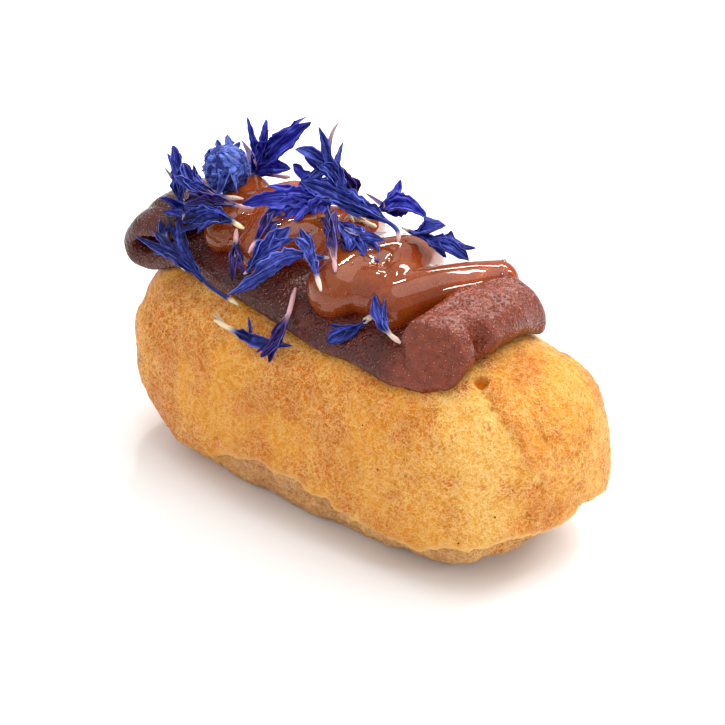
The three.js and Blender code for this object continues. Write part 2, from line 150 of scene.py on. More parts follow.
def sphere_points(rings, sides):
    """Directions from a ball's middle to its points, ring by ring and then the two poles: the
    sine of the latitude along x, and its cosine, turned round the ring, across."""
    latitude = np.linspace(-np.pi / 2, np.pi / 2, rings + 2)[1:-1, None]
    turn = np.linspace(0, 2 * np.pi, sides, endpoint=False)[None, :]
    flat = np.cos(latitude)
    axes = np.broadcast_arrays(np.sin(latitude), flat * np.cos(turn), flat * np.sin(turn))
    return np.vstack([np.stack(axes, axis=-1).reshape(-1, 3), [[-1, 0, 0], [1, 0, 0]]])


print("faces of a small ball:", len(ring_faces(8, 12)))

# %% Meshes and pieces


def make_mesh(name, points, faces, uv=None, marks=None):
    """A smooth-shaded mesh from points in millimetres. uv is one pair a point, and marks are
    named numbers on the points that the materials read."""
    mesh = bpy.data.meshes.new(name)
    mesh.from_pydata((np.asarray(points) * MM).tolist(), [], faces)
    mesh.polygons.foreach_set("use_smooth", np.ones(len(mesh.polygons), dtype=bool))
    if uv is not None:
        corner = np.empty(len(mesh.loops), dtype=np.int32)
        mesh.loops.foreach_get("vertex_index", corner)
        layer = mesh.uv_layers.new(name="UVMap")
        layer.data.foreach_set("uv", np.asarray(uv)[corner].astype(np.float32).ravel())
    for label, values in (marks or {}).items():
        attribute = mesh.attributes.new(label, "FLOAT", "POINT")
        attribute.data.foreach_set("value", np.asarray(values, dtype=np.float32).ravel())
    mesh.update()
    return mesh


def add_object(name, data):
    """An object at the origin that holds the data, put into the scene."""
    made = bpy.data.objects.new(name, data)
    bpy.context.scene.collection.objects.link(made)
    return made


def make_piece(name, mesh, nodes, material):
    """An object at the origin that rides on the one body and stands for its CAD nodes."""
    piece = add_object(name, mesh)
    mesh.materials.append(material)
    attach(piece, "root")
    if nodes:
        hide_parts(*nodes)
    return piece


def apply_modifiers(piece):
    """The piece's mesh as its modifiers leave it takes the place of the plain one."""
    graph = bpy.context.evaluated_depsgraph_get()
    finished = bpy.data.meshes.new_from_object(piece.evaluated_get(graph))
    piece.modifiers.clear()
    piece.data = finished


def count_triangles(mesh):
    """How many triangles the mesh's faces make."""
    sides = np.empty(len(mesh.polygons), dtype=np.int32)
    mesh.polygons.foreach_get("loop_total", sides)
    return int((sides - 2).sum())


def read_vertices(mesh, what):
    """The vertices' places ("co", in metres) or directions out ("normal"), as an array."""
    flat = np.empty(3 * len(mesh.vertices), dtype=np.float32)
    mesh.vertices.foreach_get(what, flat)
    return flat.reshape(-1, 3).astype(float)


# %% [markdown]
# ## Smooth lines
#
# The ribbon and the florets follow a line through a few known points. A Catmull-Rom curve goes
# through all of them without a corner. The centripetal kind, where a stretch's share of the
# parameter is the square root of its length, makes no loops where points crowd.

# %% The curve through given points


def curve_points(stops, share):
    """Points at shares 0..1 of a centripetal Catmull-Rom curve, each stretch between two stops
    taking the same part of the share. The stops past both ends mirror the first and last."""
    stops = np.asarray(stops, dtype=float)
    ends = [2 * stops[0] - stops[1]], [2 * stops[-1] - stops[-2]]
    p = np.vstack([ends[0], stops, ends[1]])
    place = np.clip(np.asarray(share, dtype=float), 0, 1) * (len(stops) - 1)
    first = np.minimum(place.astype(int), len(stops) - 2)
    t = (place - first)[..., None]
    a, b, c, d = p[first], p[first + 1], p[first + 2], p[first + 3]
    ab, bc, cd = (np.sqrt(np.linalg.norm(v, axis=-1, keepdims=True)) for v in (b - a, c - b, d - c))
    start = ((b - a) / ab - (c - a) / (ab + bc) + (c - b) / bc) * bc
    end = ((c - b) / bc - (d - b) / (bc + cd) + (d - c) / cd) * bc
    return (b + start * t + (-3 * b + 3 * c - 2 * start - end) * t ** 2
            + (2 * b - 2 * c + start + end) * t ** 3)


def even_shares(stops, share, samples=4000):
    """The curve's own shares that lie at even shares of its length, read off a long table."""
    table = np.linspace(0, 1, samples)
    line = curve_points(stops, table)
    length = np.concatenate([[0], np.cumsum(np.linalg.norm(np.diff(line, axis=0), axis=1))])
    return np.interp(np.asarray(share) * length[-1], length, table), length[-1]


# %% [markdown]
# ## The bun's form
#
# A choux bun puffs into a long rounded body. Its sections are super-ellipses, squarer than a
# circle, and they shrink to a point at both ends along another super-ellipse. The formula and
# its numbers are those of the CAD solid, only on a much finer grid, so both have one form.

# %% Numbers of the bun
HALF_LENGTH, HALF_WIDTH, CROWN_HEIGHT = 34.0, 16.0, 28.5
WAIST, FOOT_SINK = 15.0, 0.6
END_POWER, TOP_POWER, FOOT_POWER = 3.3, 2.2, 4.0
BUN_RINGS, BUN_SIDES = 340, 250
print("bun box in mm:", 2 * HALF_LENGTH, 2 * HALF_WIDTH, CROWN_HEIGHT)

# %% The bun's plain form


def end_shrink(x):
    """How much of the full section is left at x: (1 - |x/half length|^n)^(1/n)."""
    return np.maximum(1 - np.abs(x / HALF_LENGTH) ** END_POWER, 0) ** (1 / END_POWER)


def crown(x, y):
    """Height of the smooth crown over a point of the plan."""
    s = end_shrink(x)
    across = np.minimum(np.abs(y) / (HALF_WIDTH * s), 1)
    return WAIST + s * (CROWN_HEIGHT - WAIST) * (1 - across ** TOP_POWER) ** (1 / TOP_POWER)


def line_distance(points, stops):
    """Shortest distance from each point to a bent line."""
    nearest = np.full(points.shape[:-1], np.inf)
    stops = np.asarray(stops, dtype=float)
    for a, b in zip(stops[:-1], stops[1:]):
        share = np.clip(((points - a) @ (b - a)) / ((b - a) @ (b - a)), 0, 1)
        foot = a + share[..., None] * (b - a)
        nearest = np.minimum(nearest, np.linalg.norm(points - foot, axis=-1))
    return nearest


def bell(distance, width):
    """A bell curve: 1 at the middle, about a third at one width."""
    return np.exp(-((distance / width) ** 2))


def bun_base(u, phi):
    """The bun before its relief: x follows a sine of u, the section a super-ellipse of phi.
    Also given are the direction in which relief stands out, and the cosine and sine of phi."""
    x = HALF_LENGTH * np.sin(u * np.pi / 2)
    s = end_shrink(x)
    c, h = np.cos(phi), np.sin(phi)
    power = np.where(h > 0, TOP_POWER, FOOT_POWER)
    reach = np.where(h > 0, CROWN_HEIGHT - WAIST, WAIST + FOOT_SINK)
    y = HALF_WIDTH * s * signed_power(c, 2 / power)
    z = WAIST + s * reach * signed_power(h, 2 / power)
    points = np.stack([x, y, z], axis=-1)
    outward = unit(np.stack([x * (1 - s), y, z - WAIST], axis=-1))
    return points, outward, c, h


print("crown height over the middle:", round(float(crown(0.0, 0.0)), 2))

# %% [markdown]
# ## The bun's crust
#
# In the oven the crust browns, splits and wrinkles. The browned crust overhangs a paler band
# near the foot, lobes of the piped dough meet in creases at the near end, and there is one small
# hole. These could be sculpted by hand, but here each is a small height that is added to the
# bun's form: a step, a bell curve or hills. So they show at the outline too, which a picture on
# a smooth body would not. Every mark that the colours need later is worked out on the way.

# %% Lines and spots of the crust
CRUST_EDGE = np.array([
    [-34, 1], [-22, 1.5], [-16.6, 3], [-8, 7.8], [1.6, 9], [5.3, 8], [8.5, 6], [22, 6.4],
    [26.5, 8], [34, 9],
])
CREASES = [
    [[23.9, -5.4, 26.4], [28.6, -7.5, 23.8], [32, -7.5, 20.5]],
    [[32.2, -8.5, 12], [33.8, -1, 10.5], [33, 5, 9]],
]
VALLEY = [[34.6, 1.5, 19], [34.6, -3.6, 16.4], [33.8, -7.1, 13], [32.8, -9.3, 10], [30, -9.5, 5]]
STEP_LINE = np.array([[23.0, -5.2], [28.6, -7.5], [32.0, -7.5]])
PALE_LINE = [[20, -8, 26.5], [25.5, -11, 22.5], [29.5, -11, 15], [30, -10.5, 5]]
SWELLS = [([31, 7, 16], 9, 1.3), ([24, -13, 5], 8, 0.9), ([33, -3, 17], 6, 0.6)]
HOLE = np.array([23.9, -5.4, 26.6])
print("lines and spots:", len(CREASES) + 4, len(SWELLS) + 1)

# %% Edge and lumps of the crust
LIP_OUT, LIP_STEP, LIP_FADE, BAND_SINK = 0.8, 0.7, 7.0, 0.8
# The last number is the width of the painted highlight along the crust's edge.
LIP_STARTS, BAND_ENDS, LIT_RIM_WIDTH = (-20, -8), (0, 4), 0.45
EDGE_RIPPLE, EDGE_RIPPLES = 0.2, 1.1
EDGE_RAGS, RAG_LENGTH, RAG_STRETCH = 1.0, 4.4, np.array([1, 1, 0.2])
EDGE_TEETH, TEETH_LENGTH, TEETH_STRETCH = 0.2, 0.6, np.array([1, 1, 0.3])
LUMP_DEPTH, LUMP_ALONG, LUMP_ROUND = 0.35, (0.31, 0.22), (2.1, 3.3)


def crust_edge(p):
    """Height at which the browned crust ends: a line through given heights, with a slow sine
    and rough hills that hardly change upwards, so that the edge stays one line."""
    x = p[..., 0]
    edge = np.interp(x, CRUST_EDGE[:, 0], CRUST_EDGE[:, 1])
    edge = edge + EDGE_RIPPLE * np.sin(EDGE_RIPPLES * x)
    edge = edge + EDGE_RAGS * rough_hills(p * RAG_STRETCH, RAG_LENGTH, seed=5, octaves=4)
    return edge + EDGE_TEETH * hills(p * TEETH_STRETCH, TEETH_LENGTH, seed=9)


def lip_and_band(p):
    """The overhang's height, which steps out at the edge and fades upwards, and marks from 0 to
    1 for the pale band under it and for a painted highlight along its edge."""
    x, z = p[..., 0], p[..., 2]
    edge = crust_edge(p)
    starts = smooth_step(*LIP_STARTS, x)
    above = smooth_step(edge - LIP_STEP, edge, z)
    lip = LIP_OUT * starts * above * (1 - smooth_step(edge, edge + LIP_FADE, z))
    sunk = BAND_SINK * starts * (1 - above) * smooth_step(*BAND_ENDS, z)
    return lip, sunk, starts * (1 - above), starts * bell(z - edge, LIT_RIM_WIDTH)


def lumps_and_swells(p, c, h):
    """Slow waves all over, and the lobes of dough that swell as bells round their centres."""
    lumps = LUMP_DEPTH * np.sin(LUMP_ALONG[0] * p[..., 0] + LUMP_ROUND[0] * c)
    lumps = lumps * np.cos(LUMP_ALONG[1] * p[..., 0] - LUMP_ROUND[1] * h)
    return lumps, sum(height * bell(np.linalg.norm(p - np.array(centre), axis=-1), reach)
                      for centre, reach, height in SWELLS)


# %% Creases and wrinkles of the crust
CREASE_DEPTH, CREASE_WIDTH, LOBE_SWELL, CREASE_SHARE = 1.2, 1.2, 0.5, 0.35
VALLEY_DEPTH, VALLEY_WIDTH, BANK_SWELL, BANK_WIDTH = 0.8, 1.5, 0.3, 4
STEP_HEIGHT, STEP_FADE, STEP_ACROSS = 0.8, 4.5, (-0.5, 0.7)
STEP_ALONG, STEP_ABOVE = (22.5, 25), (17, 20)
WANDER, WANDER_SIZE = 0.5, 2.5
RIDGE_HEIGHT, RIDGE_SIZE, RIDGE_STRETCH = 0.11, 0.9, np.array([0.55, 0.55, 1.6])
ROUGH_HEIGHT, ROUGH_SIZE = 0.14, 1.6
FOLD_HEIGHT, FOLD_SIZE, FOLD_STRETCH = 0.32, 0.8, np.array([0.6, 1.2, 0.5])
FOLD_REACH, FOLD_IN_BAND = 3.5, 0.6
BULGE_HEIGHT, BULGE_SIZE = 0.2, 4.0
BLISTER_HEIGHT, BLISTER_SIZE, BLISTER_CUT = 0.18, 3.1, (0.35, 0.6)
PIT_DEPTH, PIT_SIZE, PIT_CUT = 0.25, 1.5, (0.5, 0.75)
TILT = np.array([[0.74, -0.52, 0.43], [0.61, 0.79, -0.1], [-0.28, 0.33, 0.9]])


def step_bank(wander, p):
    """Where the crust stands a step higher past the line that runs from the hole, from 0 to 1,
    and the distance past that line."""
    past = wander[..., 1] - np.interp(wander[..., 0], STEP_LINE[:, 0], STEP_LINE[:, 1])
    bank = smooth_step(*STEP_ACROSS, past) * smooth_step(*STEP_ALONG, p[..., 0])
    return bank * smooth_step(*STEP_ABOVE, p[..., 2]), past


def crust_groove(wander, valley, bank, past):
    """Bell-shaped grooves with swollen banks along the creases and the valley, less the step."""
    crease = np.minimum(*(line_distance(wander, stops) for stops in CREASES))
    groove = CREASE_DEPTH * bell(crease, CREASE_WIDTH) - LOBE_SWELL * bell(crease, 4 * CREASE_WIDTH)
    groove = CREASE_SHARE * groove + VALLEY_DEPTH * bell(valley, VALLEY_WIDTH)
    groove = groove - BANK_SWELL * bell(valley, BANK_WIDTH)
    return groove - STEP_HEIGHT * bank * np.exp(-np.maximum(past, 0) / STEP_FADE)


def crust_wrinkles(p, tilted, wander, valley, band):
    """Fine wrinkles as hills folded at their middle, deeper folds near the valley and in the
    band, blisters as hills cut off from below, and small pits. The hills are turned off the
    axes, so that no row of them shows."""
    ridged = 1 - np.abs(hills(tilted * RIDGE_STRETCH, RIDGE_SIZE, seed=31)) * 2
    wrinkles = RIDGE_HEIGHT * ridged + ROUGH_HEIGHT * rough_hills(tilted, ROUGH_SIZE, seed=33)
    folds = FOLD_HEIGHT * (bell(valley, FOLD_REACH) + FOLD_IN_BAND * band)
    folded = 1 - 2 * np.abs(hills(wander * FOLD_STRETCH, FOLD_SIZE, seed=37))
    wrinkles = wrinkles + folds * folded
    bulges = BULGE_HEIGHT * rough_hills(tilted, BULGE_SIZE, seed=41)
    blisters = smooth_step(*BLISTER_CUT, hills(tilted, BLISTER_SIZE, seed=43))
    pits = PIT_DEPTH * smooth_step(*PIT_CUT, hills(p, PIT_SIZE, seed=47))
    return wrinkles + (bulges + BLISTER_HEIGHT * blisters) - pits


# %% The whole crust
HOLE_RADIUS, HOLE_DEPTH, HOLE_WALL = 0.95, 1.2, (0.7, 1.1)
COVERED_UP, COVERED_ALONG, COVERED_FINE = (0.45, 0.7), (23, 26), 0.4
# Far along x and up from the foot the crust is paler: partly flour, partly painted light for the end
# that gets the most light.
FLOUR_AND_LIGHT_ALONG, FLOUR_AND_LIGHT_UP, FLOUR_PATCH, FLOUR_LINE_WIDTH = (14, 30), (6, 20), 8.0, 3.0
FLOUR_AND_LIGHT_END, FLOUR_PATCHES, FLOUR_BY_LINE, FLOUR_OFF_BANK = 0.4, 0.3, 0.7, 0.5


def crust_relief(p, c, h):
    """How far the crust stands out at each point, and marks for the material: how deep in the
    pale band it is, how near a crease (for painted shade there), the hole or the rim (for a
    painted highlight along the crust's edge), and how floury, where the paler end is partly
    painted light."""
    covered = smooth_step(*COVERED_UP, h) * (1 - smooth_step(*COVERED_ALONG, p[..., 0]))
    tilted = p @ TILT
    swirl = [hills(p, WANDER_SIZE, seed) for seed in (21, 22, 23)]
    wander = p + WANDER * np.stack(swirl, axis=-1)
    valley = line_distance(wander, VALLEY)
    lip, sunk, band, rim = lip_and_band(p)
    lumps, swell = lumps_and_swells(p, c, h)
    bank, past = step_bank(wander, p)
    groove = crust_groove(wander, valley, bank, past) + sunk
    hole = 1 - smooth_step(*HOLE_WALL, np.linalg.norm(wander - HOLE, axis=-1) / HOLE_RADIUS)
    coarse = (lumps + lip + swell - groove) * (1 - covered)
    fine = crust_wrinkles(p, tilted, wander, valley, band) * mix(1, COVERED_FINE, covered)
    # Painted shade: this mark colours the creases, the step's bank and the valley a deeper orange, as
    # shade in them.
    near = np.maximum(bank * bell(past - 0.5, 1.3), 0.7 * bell(valley, 1.4))
    # partly painted light: the end is painted paler, as if more brightly lit, as well as floury
    flour_and_light = FLOUR_AND_LIGHT_END * smooth_step(*FLOUR_AND_LIGHT_ALONG, p[..., 0]) * smooth_step(*FLOUR_AND_LIGHT_UP, p[..., 2])
    flour_and_light = flour_and_light + FLOUR_PATCHES * rough_hills(tilted, FLOUR_PATCH, seed=61)
    pale = bell(line_distance(wander, PALE_LINE), FLOUR_LINE_WIDTH)
    flour_and_light = flour_and_light + FLOUR_BY_LINE * pale - FLOUR_OFF_BANK * bank
    return coarse + fine - HOLE_DEPTH * hole, band, near, hole, flour_and_light, rim


def bun_points(u, phi):
    """Relief added to the base along its outward direction; the foot is pressed flat."""
    base, outward, c, h = bun_base(u, phi)
    height, *marks = crust_relief(base, c, h)
    points = base + outward * height[..., None]
    points[..., 2] = np.maximum(points[..., 2], 0)
    return points, *marks


def bun_mesh():
    """Rings from one end of the bun to the other, closed by a pole point at each end."""
    u = np.linspace(-1, 1, BUN_RINGS + 2)[1:-1]
    phi = np.linspace(0, 2 * np.pi, BUN_SIDES, endpoint=False)
    grid = bun_points(*np.meshgrid(u, phi, indexing="ij"))
    poles = bun_points(np.array([-1.0, 1.0]), np.zeros(2))
    points = np.vstack([grid[0].reshape(-1, 3), poles[0]])
    marks = {name: np.concatenate([grid[i].ravel(), poles[i]])
             for i, name in enumerate(("band", "crease", "hole", "flour_and_light", "rim"), start=1)}
    return make_mesh("choux_bun_crust", points, ring_faces(BUN_RINGS, BUN_SIDES), marks=marks)


bun_surface = bun_mesh()
print("bun triangles:", count_triangles(bun_surface))

# %% [markdown]
# ## The chocolate ribbon
#
# A strip of chocolate was rolled flat, laid along the crown, curled under at the far end and
# folded back at the near end. Its shape is a rounded section carried along a path: the path is
# drawn in the upright plane, and across it the strip sinks with the crown. A cloth simulation
# could fold it too, but the path puts each bend where it belongs. The folded flap hangs over the
# near edge, and its bend is dented and creased.

# %% Path of the ribbon
RIBBON_GAP, RIBBON_THICK, FLAP_THICK = 0.35, 2.4, 2.9
LIES_FROM, LIES_TO = -28, 21
RIBBON_STEPS, RIBBON_ACROSS, RIBBON_ROUND = 300, 64, 12


def lie_height(x):
    """Height of the strip's middle where it lies on the crown."""
    return crown(np.asarray(x, dtype=float), 0.0) + RIBBON_GAP + RIBBON_THICK / 2


def ribbon_drop(x, y):
    """How far the strip sinks beside the crown's top line."""
    at = np.clip(x, LIES_FROM, LIES_TO)
    return crown(at, y) - crown(at, 0.0)


LYING = np.array([-27, -22, -16, -8, 0, 8, 14, 19], dtype=float)
RIBBON_PATH = np.vstack([
    [[-27.0, 31.4], [-30.2, 31.8], [-33.0, 30.9], [-34.6, 28.5], [-34.1, 26.5], [-31.6, 26.1]],
    np.column_stack([LYING, lie_height(LYING)]),
    [[21.3, 29.2], [22.1, 30.8], [21.2, 32.2], [19.0, 32.7], [14.6, 32.7]],
])
print("stops of the ribbon's path:", len(RIBBON_PATH))

# %% Section of the ribbon
NEAR_REACH = np.array([
    [-36, 8.6], [-31, 8.2], [-27, 7.8], [-22, 8.9], [-10, 10.5],
    [2, 11.7], [14, 12], [18.5, 11.2], [20.5, 10], [24, 8.8],
])
FAR_REACH = np.array([
    [-36, 8.6], [-28, 9.5], [-10, 10.6], [2, 11.2], [14, 11.2], [19, 10.8], [24, 9.8],
])
FLAP_NARROW, EDGE_WANDER, EDGE_WAVE = 0.17, 0.35, 6.0


def ribbon_section():
    """The strip's outline as pairs: sideways -1..1 and through -1..1. The flats are even rows
    and the two long edges are half circles, marked by how far they stand past the flat."""
    flat = np.linspace(-1, 1, RIBBON_ACROSS)
    angle = np.linspace(-np.pi / 2, np.pi / 2, RIBBON_ROUND + 2)[1:-1]
    side = np.concatenate([flat, np.ones(RIBBON_ROUND), flat[::-1], -np.ones(RIBBON_ROUND)])
    through = np.concatenate([-np.ones(RIBBON_ACROSS), np.sin(angle),
                              np.ones(RIBBON_ACROSS), -np.sin(angle)])
    past = np.concatenate([np.zeros(RIBBON_ACROSS), np.cos(angle),
                           np.zeros(RIBBON_ACROSS), -np.cos(angle)])
    return side, through, past


def strip_reach(x, side, folded, wave_at):
    """How far the strip reaches to its near or far side at x: read off the lists of reaches,
    narrower on the flap, and wandering by a slow wave along the edge."""
    near = np.interp(x, NEAR_REACH[:, 0], NEAR_REACH[:, 1])
    far = np.interp(x, FAR_REACH[:, 0], FAR_REACH[:, 1])
    reach = np.where(side < 0, near, far) * (1 - FLAP_NARROW * folded)
    return reach + EDGE_WANDER * hills(wave_at * [1, 0, 0] + [0, 7, 0], EDGE_WAVE, seed=53)


# %% Fold, dents and sag of the ribbon
TURN_START, TURN_END, FLAP_LEVEL = 0.865, 0.935, 0.9
PINCH_Y, PINCH_DEPTH, PINCH_WIDTH = -4.2, 1.9, 1.1
NIP_Y, NIP_DEPTH, NIP_WIDTH, NIP_SLANT, NIP_AT, NIP_LONG = -4.4, 1.3, 0.55, 1.2, 0.22, 0.24
SAG_OUT, SAG_DOWN, SAG_ACROSS, SAG_ALONG = 2.4, 3.6, (-0.7, -1), (0, 1.4)
DIMPLE_LYING, DIMPLE_FLAP, DIMPLE_SIZE = 0.14, 0.26, 4.0
GRAIN_HEIGHT, GRAIN_SIZE = 0.06, 1.3
# The first pair sets where along x the painted light of the turned flap fades in.
LIT_FLAP_ALONG, MAP_SIZE, ACROSS_SIZE, BLUNT_LEAST = (11.5, 16.0), 10, 9, 0.06


def bend_dent(y, through, folded):
    """How far the bend's outer side is pressed in: a broad dent, deepest half way round, and a
    narrow slanting crease in it, low on the bend. Both are bells across the strip."""
    turn = folded * (1 - folded) * 4
    crease = bell(folded - NIP_AT, NIP_LONG) * bell(y - NIP_Y - NIP_SLANT * folded, NIP_WIDTH)
    dent = PINCH_DEPTH * turn * bell(y - PINCH_Y, PINCH_WIDTH)
    return (through > 0) * (dent + NIP_DEPTH * crease)


def ribbon_points():
    """The section carried along the path. Each row is turned to the path's direction, rounded
    at both cut ends, lowered with the crown, and dented at the bend. The folded part's near
    edge sags over the edge below it. Also given are the map and the mark of the turned part,
    which the chocolate uses for painted light on the flap."""
    share = np.linspace(0, 1, RIBBON_STEPS)[:, None]
    own, length = even_shares(RIBBON_PATH, share[:, 0])
    centre = curve_points(RIBBON_PATH, own)
    tangent = unit(np.gradient(centre, axis=0))
    outward = np.stack([tangent[:, 1], -tangent[:, 0]], axis=-1)
    side, through, past = ribbon_section()
    folded = smooth_step(TURN_START, TURN_END, share)
    half = mix(RIBBON_THICK, FLAP_THICK, folded) / 2
    to_end = np.minimum(share, 1 - share) * length
    blunt = np.sqrt(np.clip(1 - (1 - np.clip(to_end / half, 0, 1)) ** 2, BLUNT_LEAST, 1))
    x = centre[:, :1]
    wave_at = np.broadcast_arrays(share * length, side * ACROSS_SIZE, 0 * side)
    wave_at = np.stack(wave_at, axis=-1)
    y = side * (strip_reach(x, side, folded, wave_at) - half) + past * half
    dent = bend_dent(y, through, folded)
    dimples = mix(DIMPLE_LYING, DIMPLE_FLAP, folded) * rough_hills(wave_at, DIMPLE_SIZE, seed=57)
    dimples = dimples + GRAIN_HEIGHT * hills(wave_at, GRAIN_SIZE, seed=59)
    sag = folded * np.clip(-through, 0, 1) * smooth_step(*SAG_ACROSS, side)
    sag = sag * smooth_step(*SAG_ALONG, to_end)
    y = y - SAG_OUT * sag
    rise = half * through * blunt - dent + dimples * through
    level = 1 - FLAP_LEVEL * folded * (through + 1) / 2
    px = x + outward[:, :1] * rise
    pz = centre[:, 1:] + outward[:, 1:] * rise + ribbon_drop(x, y) * level - SAG_DOWN * sag
    points = np.stack(np.broadcast_arrays(px, y, pz), axis=-1)
    uv = np.stack(np.broadcast_arrays(share * length / MAP_SIZE, y / MAP_SIZE), axis=-1)
    return points, uv, smooth_step(*LIT_FLAP_ALONG, points[..., 0])


# %% Skin of the ribbon


def end_cap(base, flip):
    """Faces that close the strip's end: each point of one flat is joined to the one over it."""
    count = 2 * (RIBBON_ACROSS + RIBBON_ROUND)
    over = [RIBBON_ACROSS + RIBBON_ROUND + RIBBON_ACROSS - 1 - i for i in range(RIBBON_ACROSS)]
    faces = [[base + i, base + i + 1, base + over[i + 1], base + over[i]]
             for i in range(RIBBON_ACROSS - 1)]
    right = list(range(RIBBON_ACROSS - 1, RIBBON_ACROSS + RIBBON_ROUND + 1))
    left = list(range(over[0], count)) + [0]
    faces += [[base + i for i in right], [base + i for i in left]]
    return [face[::-1] for face in faces] if flip else faces


def ribbon_mesh():
    """The strip's skin with both ends closed."""
    points, uv, turned = ribbon_points()
    rows, columns = points.shape[:2]
    faces = grid_faces(rows, columns, closed=True)[:, ::-1].tolist()
    faces += end_cap(0, False) + end_cap((rows - 1) * columns, True)
    return make_mesh("chocolate_ribbon_skin", points.reshape(-1, 3), faces, uv.reshape(-1, 2),
                     marks={"turned": turned.ravel()})


ribbon_surface = ribbon_mesh()
print("ribbon triangles:", count_triangles(ribbon_surface))

# %% [markdown]
# ## The gel
#
# Clear gel was piped in straight strokes from side to side, and they ran together. Each stroke
# is a rope with round ends whose radius changes evenly from turn to turn. Metaballs could melt
# them together, but they swell where they meet. So the ropes are joined by a voxel remesh, which
# fuses them into one skin, and smoothing then rounds the joints as surface tension does. Under
# it the skin is laid flat on the ribbon.

# %% Strokes of the gel
GEL_LIFT, GEL_ARCH = 0.4, 0.7
ROPE_RINGS, ROPE_SIDES = 60, 32
GEL_TURNS = np.array([
    [-24.4, 5.0, 3.2, 1.1], [-20.6, -3.6, 2.9, 0], [-18.0, 7.0, 3.2, 0.9],
    [-13.0, -4.8, 3.4, 0], [-6.4, 7.0, 3.2, 0.6], [0.8, -6.0, 3.9, -0.4],
    [3.8, 6.4, 3.3, 0], [9.2, -4.9, 3.2, 0], [16.0, 8.0, 2.5, 1.9],
])
GEL_POOLS = np.array([
    [[-21, 0.6, 3.4, -1.4], [11, 0.4, 3.6, -1.4]],
    [[-19.5, -2.5, 2.8, -0.8], [-13.5, -3.5, 3, -0.8]],
    [[2.5, -4.5, 3.2, -0.7], [9, -4, 3.2, -0.7]],
])


def ribbon_top(x, y):
    """Height of the ribbon's upper face over a point of the plan, where it lies flat."""
    return lie_height(x) + RIBBON_THICK / 2 + ribbon_drop(x, y)


def rope(start, end):
    """A round-ended rope between two turns [x, y, radius, lift]: rings of the local radius, half
    balls at the ends, and a slight arch in the middle."""
    (x0, y0, r0, lift0), (x1, y1, r1, lift1) = start, end
    a = np.array([x0, y0, ribbon_top(x0, y0) + GEL_LIFT * r0 + lift0])
    b = np.array([x1, y1, ribbon_top(x1, y1) + GEL_LIFT * r1 + lift1])
    length = np.linalg.norm(b - a)
    forward = (b - a) / length
    side = unit(np.cross(forward, [0, 0, 1]))
    up = np.cross(side, forward)
    angle = np.linspace(-np.pi / 2, np.pi / 2, ROPE_RINGS + 2)[1:-1]
    cap = np.clip(angle / (np.pi / 4), -1, 1)
    share = (cap + 1) / 2
    tilt = np.where(np.abs(angle) > np.pi / 4, (np.abs(angle) - np.pi / 4) * 2, 0)
    radius = mix(r0, r1, share) * np.cos(tilt)
    along = share * length + np.sign(angle) * np.sin(tilt) * mix(r0, r1, share)
    turn = np.linspace(0, 2 * np.pi, ROPE_SIDES, endpoint=False)
    ring = np.cos(turn)[:, None] * side + np.sin(turn)[:, None] * up
    points = a + along[:, None, None] * forward + radius[:, None, None] * ring
    points[..., 2] += (GEL_ARCH * 4 * share * (1 - share))[:, None]
    ends = np.array([a - forward * r0, b + forward * r1])
    return np.vstack([points.reshape(-1, 3), ends])


def copies_of(faces, size, count):
    """The same faces numbered for each of several groups of points of one size."""
    return [[i + k * size for i in face] for k in range(count) for face in faces]


def strokes_mesh():
    """The ropes of all strokes and pools in one mesh."""
    ropes = [rope(*pool) for pool in GEL_POOLS]
    ropes += [rope(a, b) for a, b in zip(GEL_TURNS[:-1], GEL_TURNS[1:])]
    faces = copies_of(ring_faces(ROPE_RINGS, ROPE_SIDES), len(ropes[0]), len(ropes))
    return make_mesh("gel_strokes", np.vstack(ropes), faces)


print("strokes and pools:", len(GEL_TURNS) - 1, len(GEL_POOLS))

# %% One skin of gel
GEL_VOXEL, GEL_SWELL, GEL_SUNK = 0.32, 0.25, 0.25
TENSION, TENSION_ROUNDS = 0.5, 5
GEL_WAVE, GEL_WAVE_SIZE, GEL_WAVE_ABOVE = 0.08, 3.0, 0.5


def fused_strokes():
    """The ropes fused by the voxel remesh and smoothed."""
    worker = add_object("gel_worker", strokes_mesh())
    fuse = worker.modifiers.new("fuse", "REMESH")
    fuse.mode = "VOXEL"
    fuse.voxel_size = GEL_VOXEL * MM
    tension = worker.modifiers.new("tension", "SMOOTH")
    tension.factor = TENSION
    tension.iterations = TENSION_ROUNDS
    apply_modifiers(worker)
    skin = worker.data
    bpy.data.objects.remove(worker)
    return skin


def gel_mesh():
    """The fused skin swollen outwards and laid on the ribbon: a point under the ribbon's face
    comes up to just below it, and the rest is waved a little."""
    skin = fused_strokes()
    points = read_vertices(skin, "co") / MM
    points = points + GEL_SWELL * read_vertices(skin, "normal")
    floor = ribbon_top(points[:, 0], points[:, 1]) - GEL_SUNK
    points[:, 2] = np.maximum(points[:, 2], floor)
    above = points[:, 2] > floor + GEL_WAVE_ABOVE
    points[:, 2] += GEL_WAVE * hills(points, GEL_WAVE_SIZE, seed=61) * above
    skin.vertices.foreach_set("co", (points * MM).astype(np.float32).ravel())
    skin.update()
    skin.polygons.foreach_set("use_smooth", np.ones(len(skin.polygons), dtype=bool))
    skin.name = "gel_skin"
    return skin


gel_surface = gel_mesh()
print("gel triangles:", count_triangles(gel_surface))

# %% [markdown]
# ## The dried florets
#
# Each floret is a thin tube that opens into a fan of pointed blades, dried, curled and veined,
# some with a pale thread or two. Leaves cut out of pictures would be quick, but flat from the
# side. Here the tube is a chain of rings along a curve, the floret's spine. Each blade is a grid
# of two parameters: one runs from its root on the tube to its tip, the other across it. At the
# root it is wrapped round the tube, and then it unrolls and widens like a leaf.
#
# A floret is given by its spine in millimetres and by a row for each blade and thread: how far
# along the spine's straight line its tip is (1 is the spine's end), how far the tip stands
# aside and how far it is lifted, the blade's width, and where on the spine it starts. Roll and
# cup are the turn and the half angle of its arc, in degrees. Pale is the share of the floret
# that fades to its base colour.

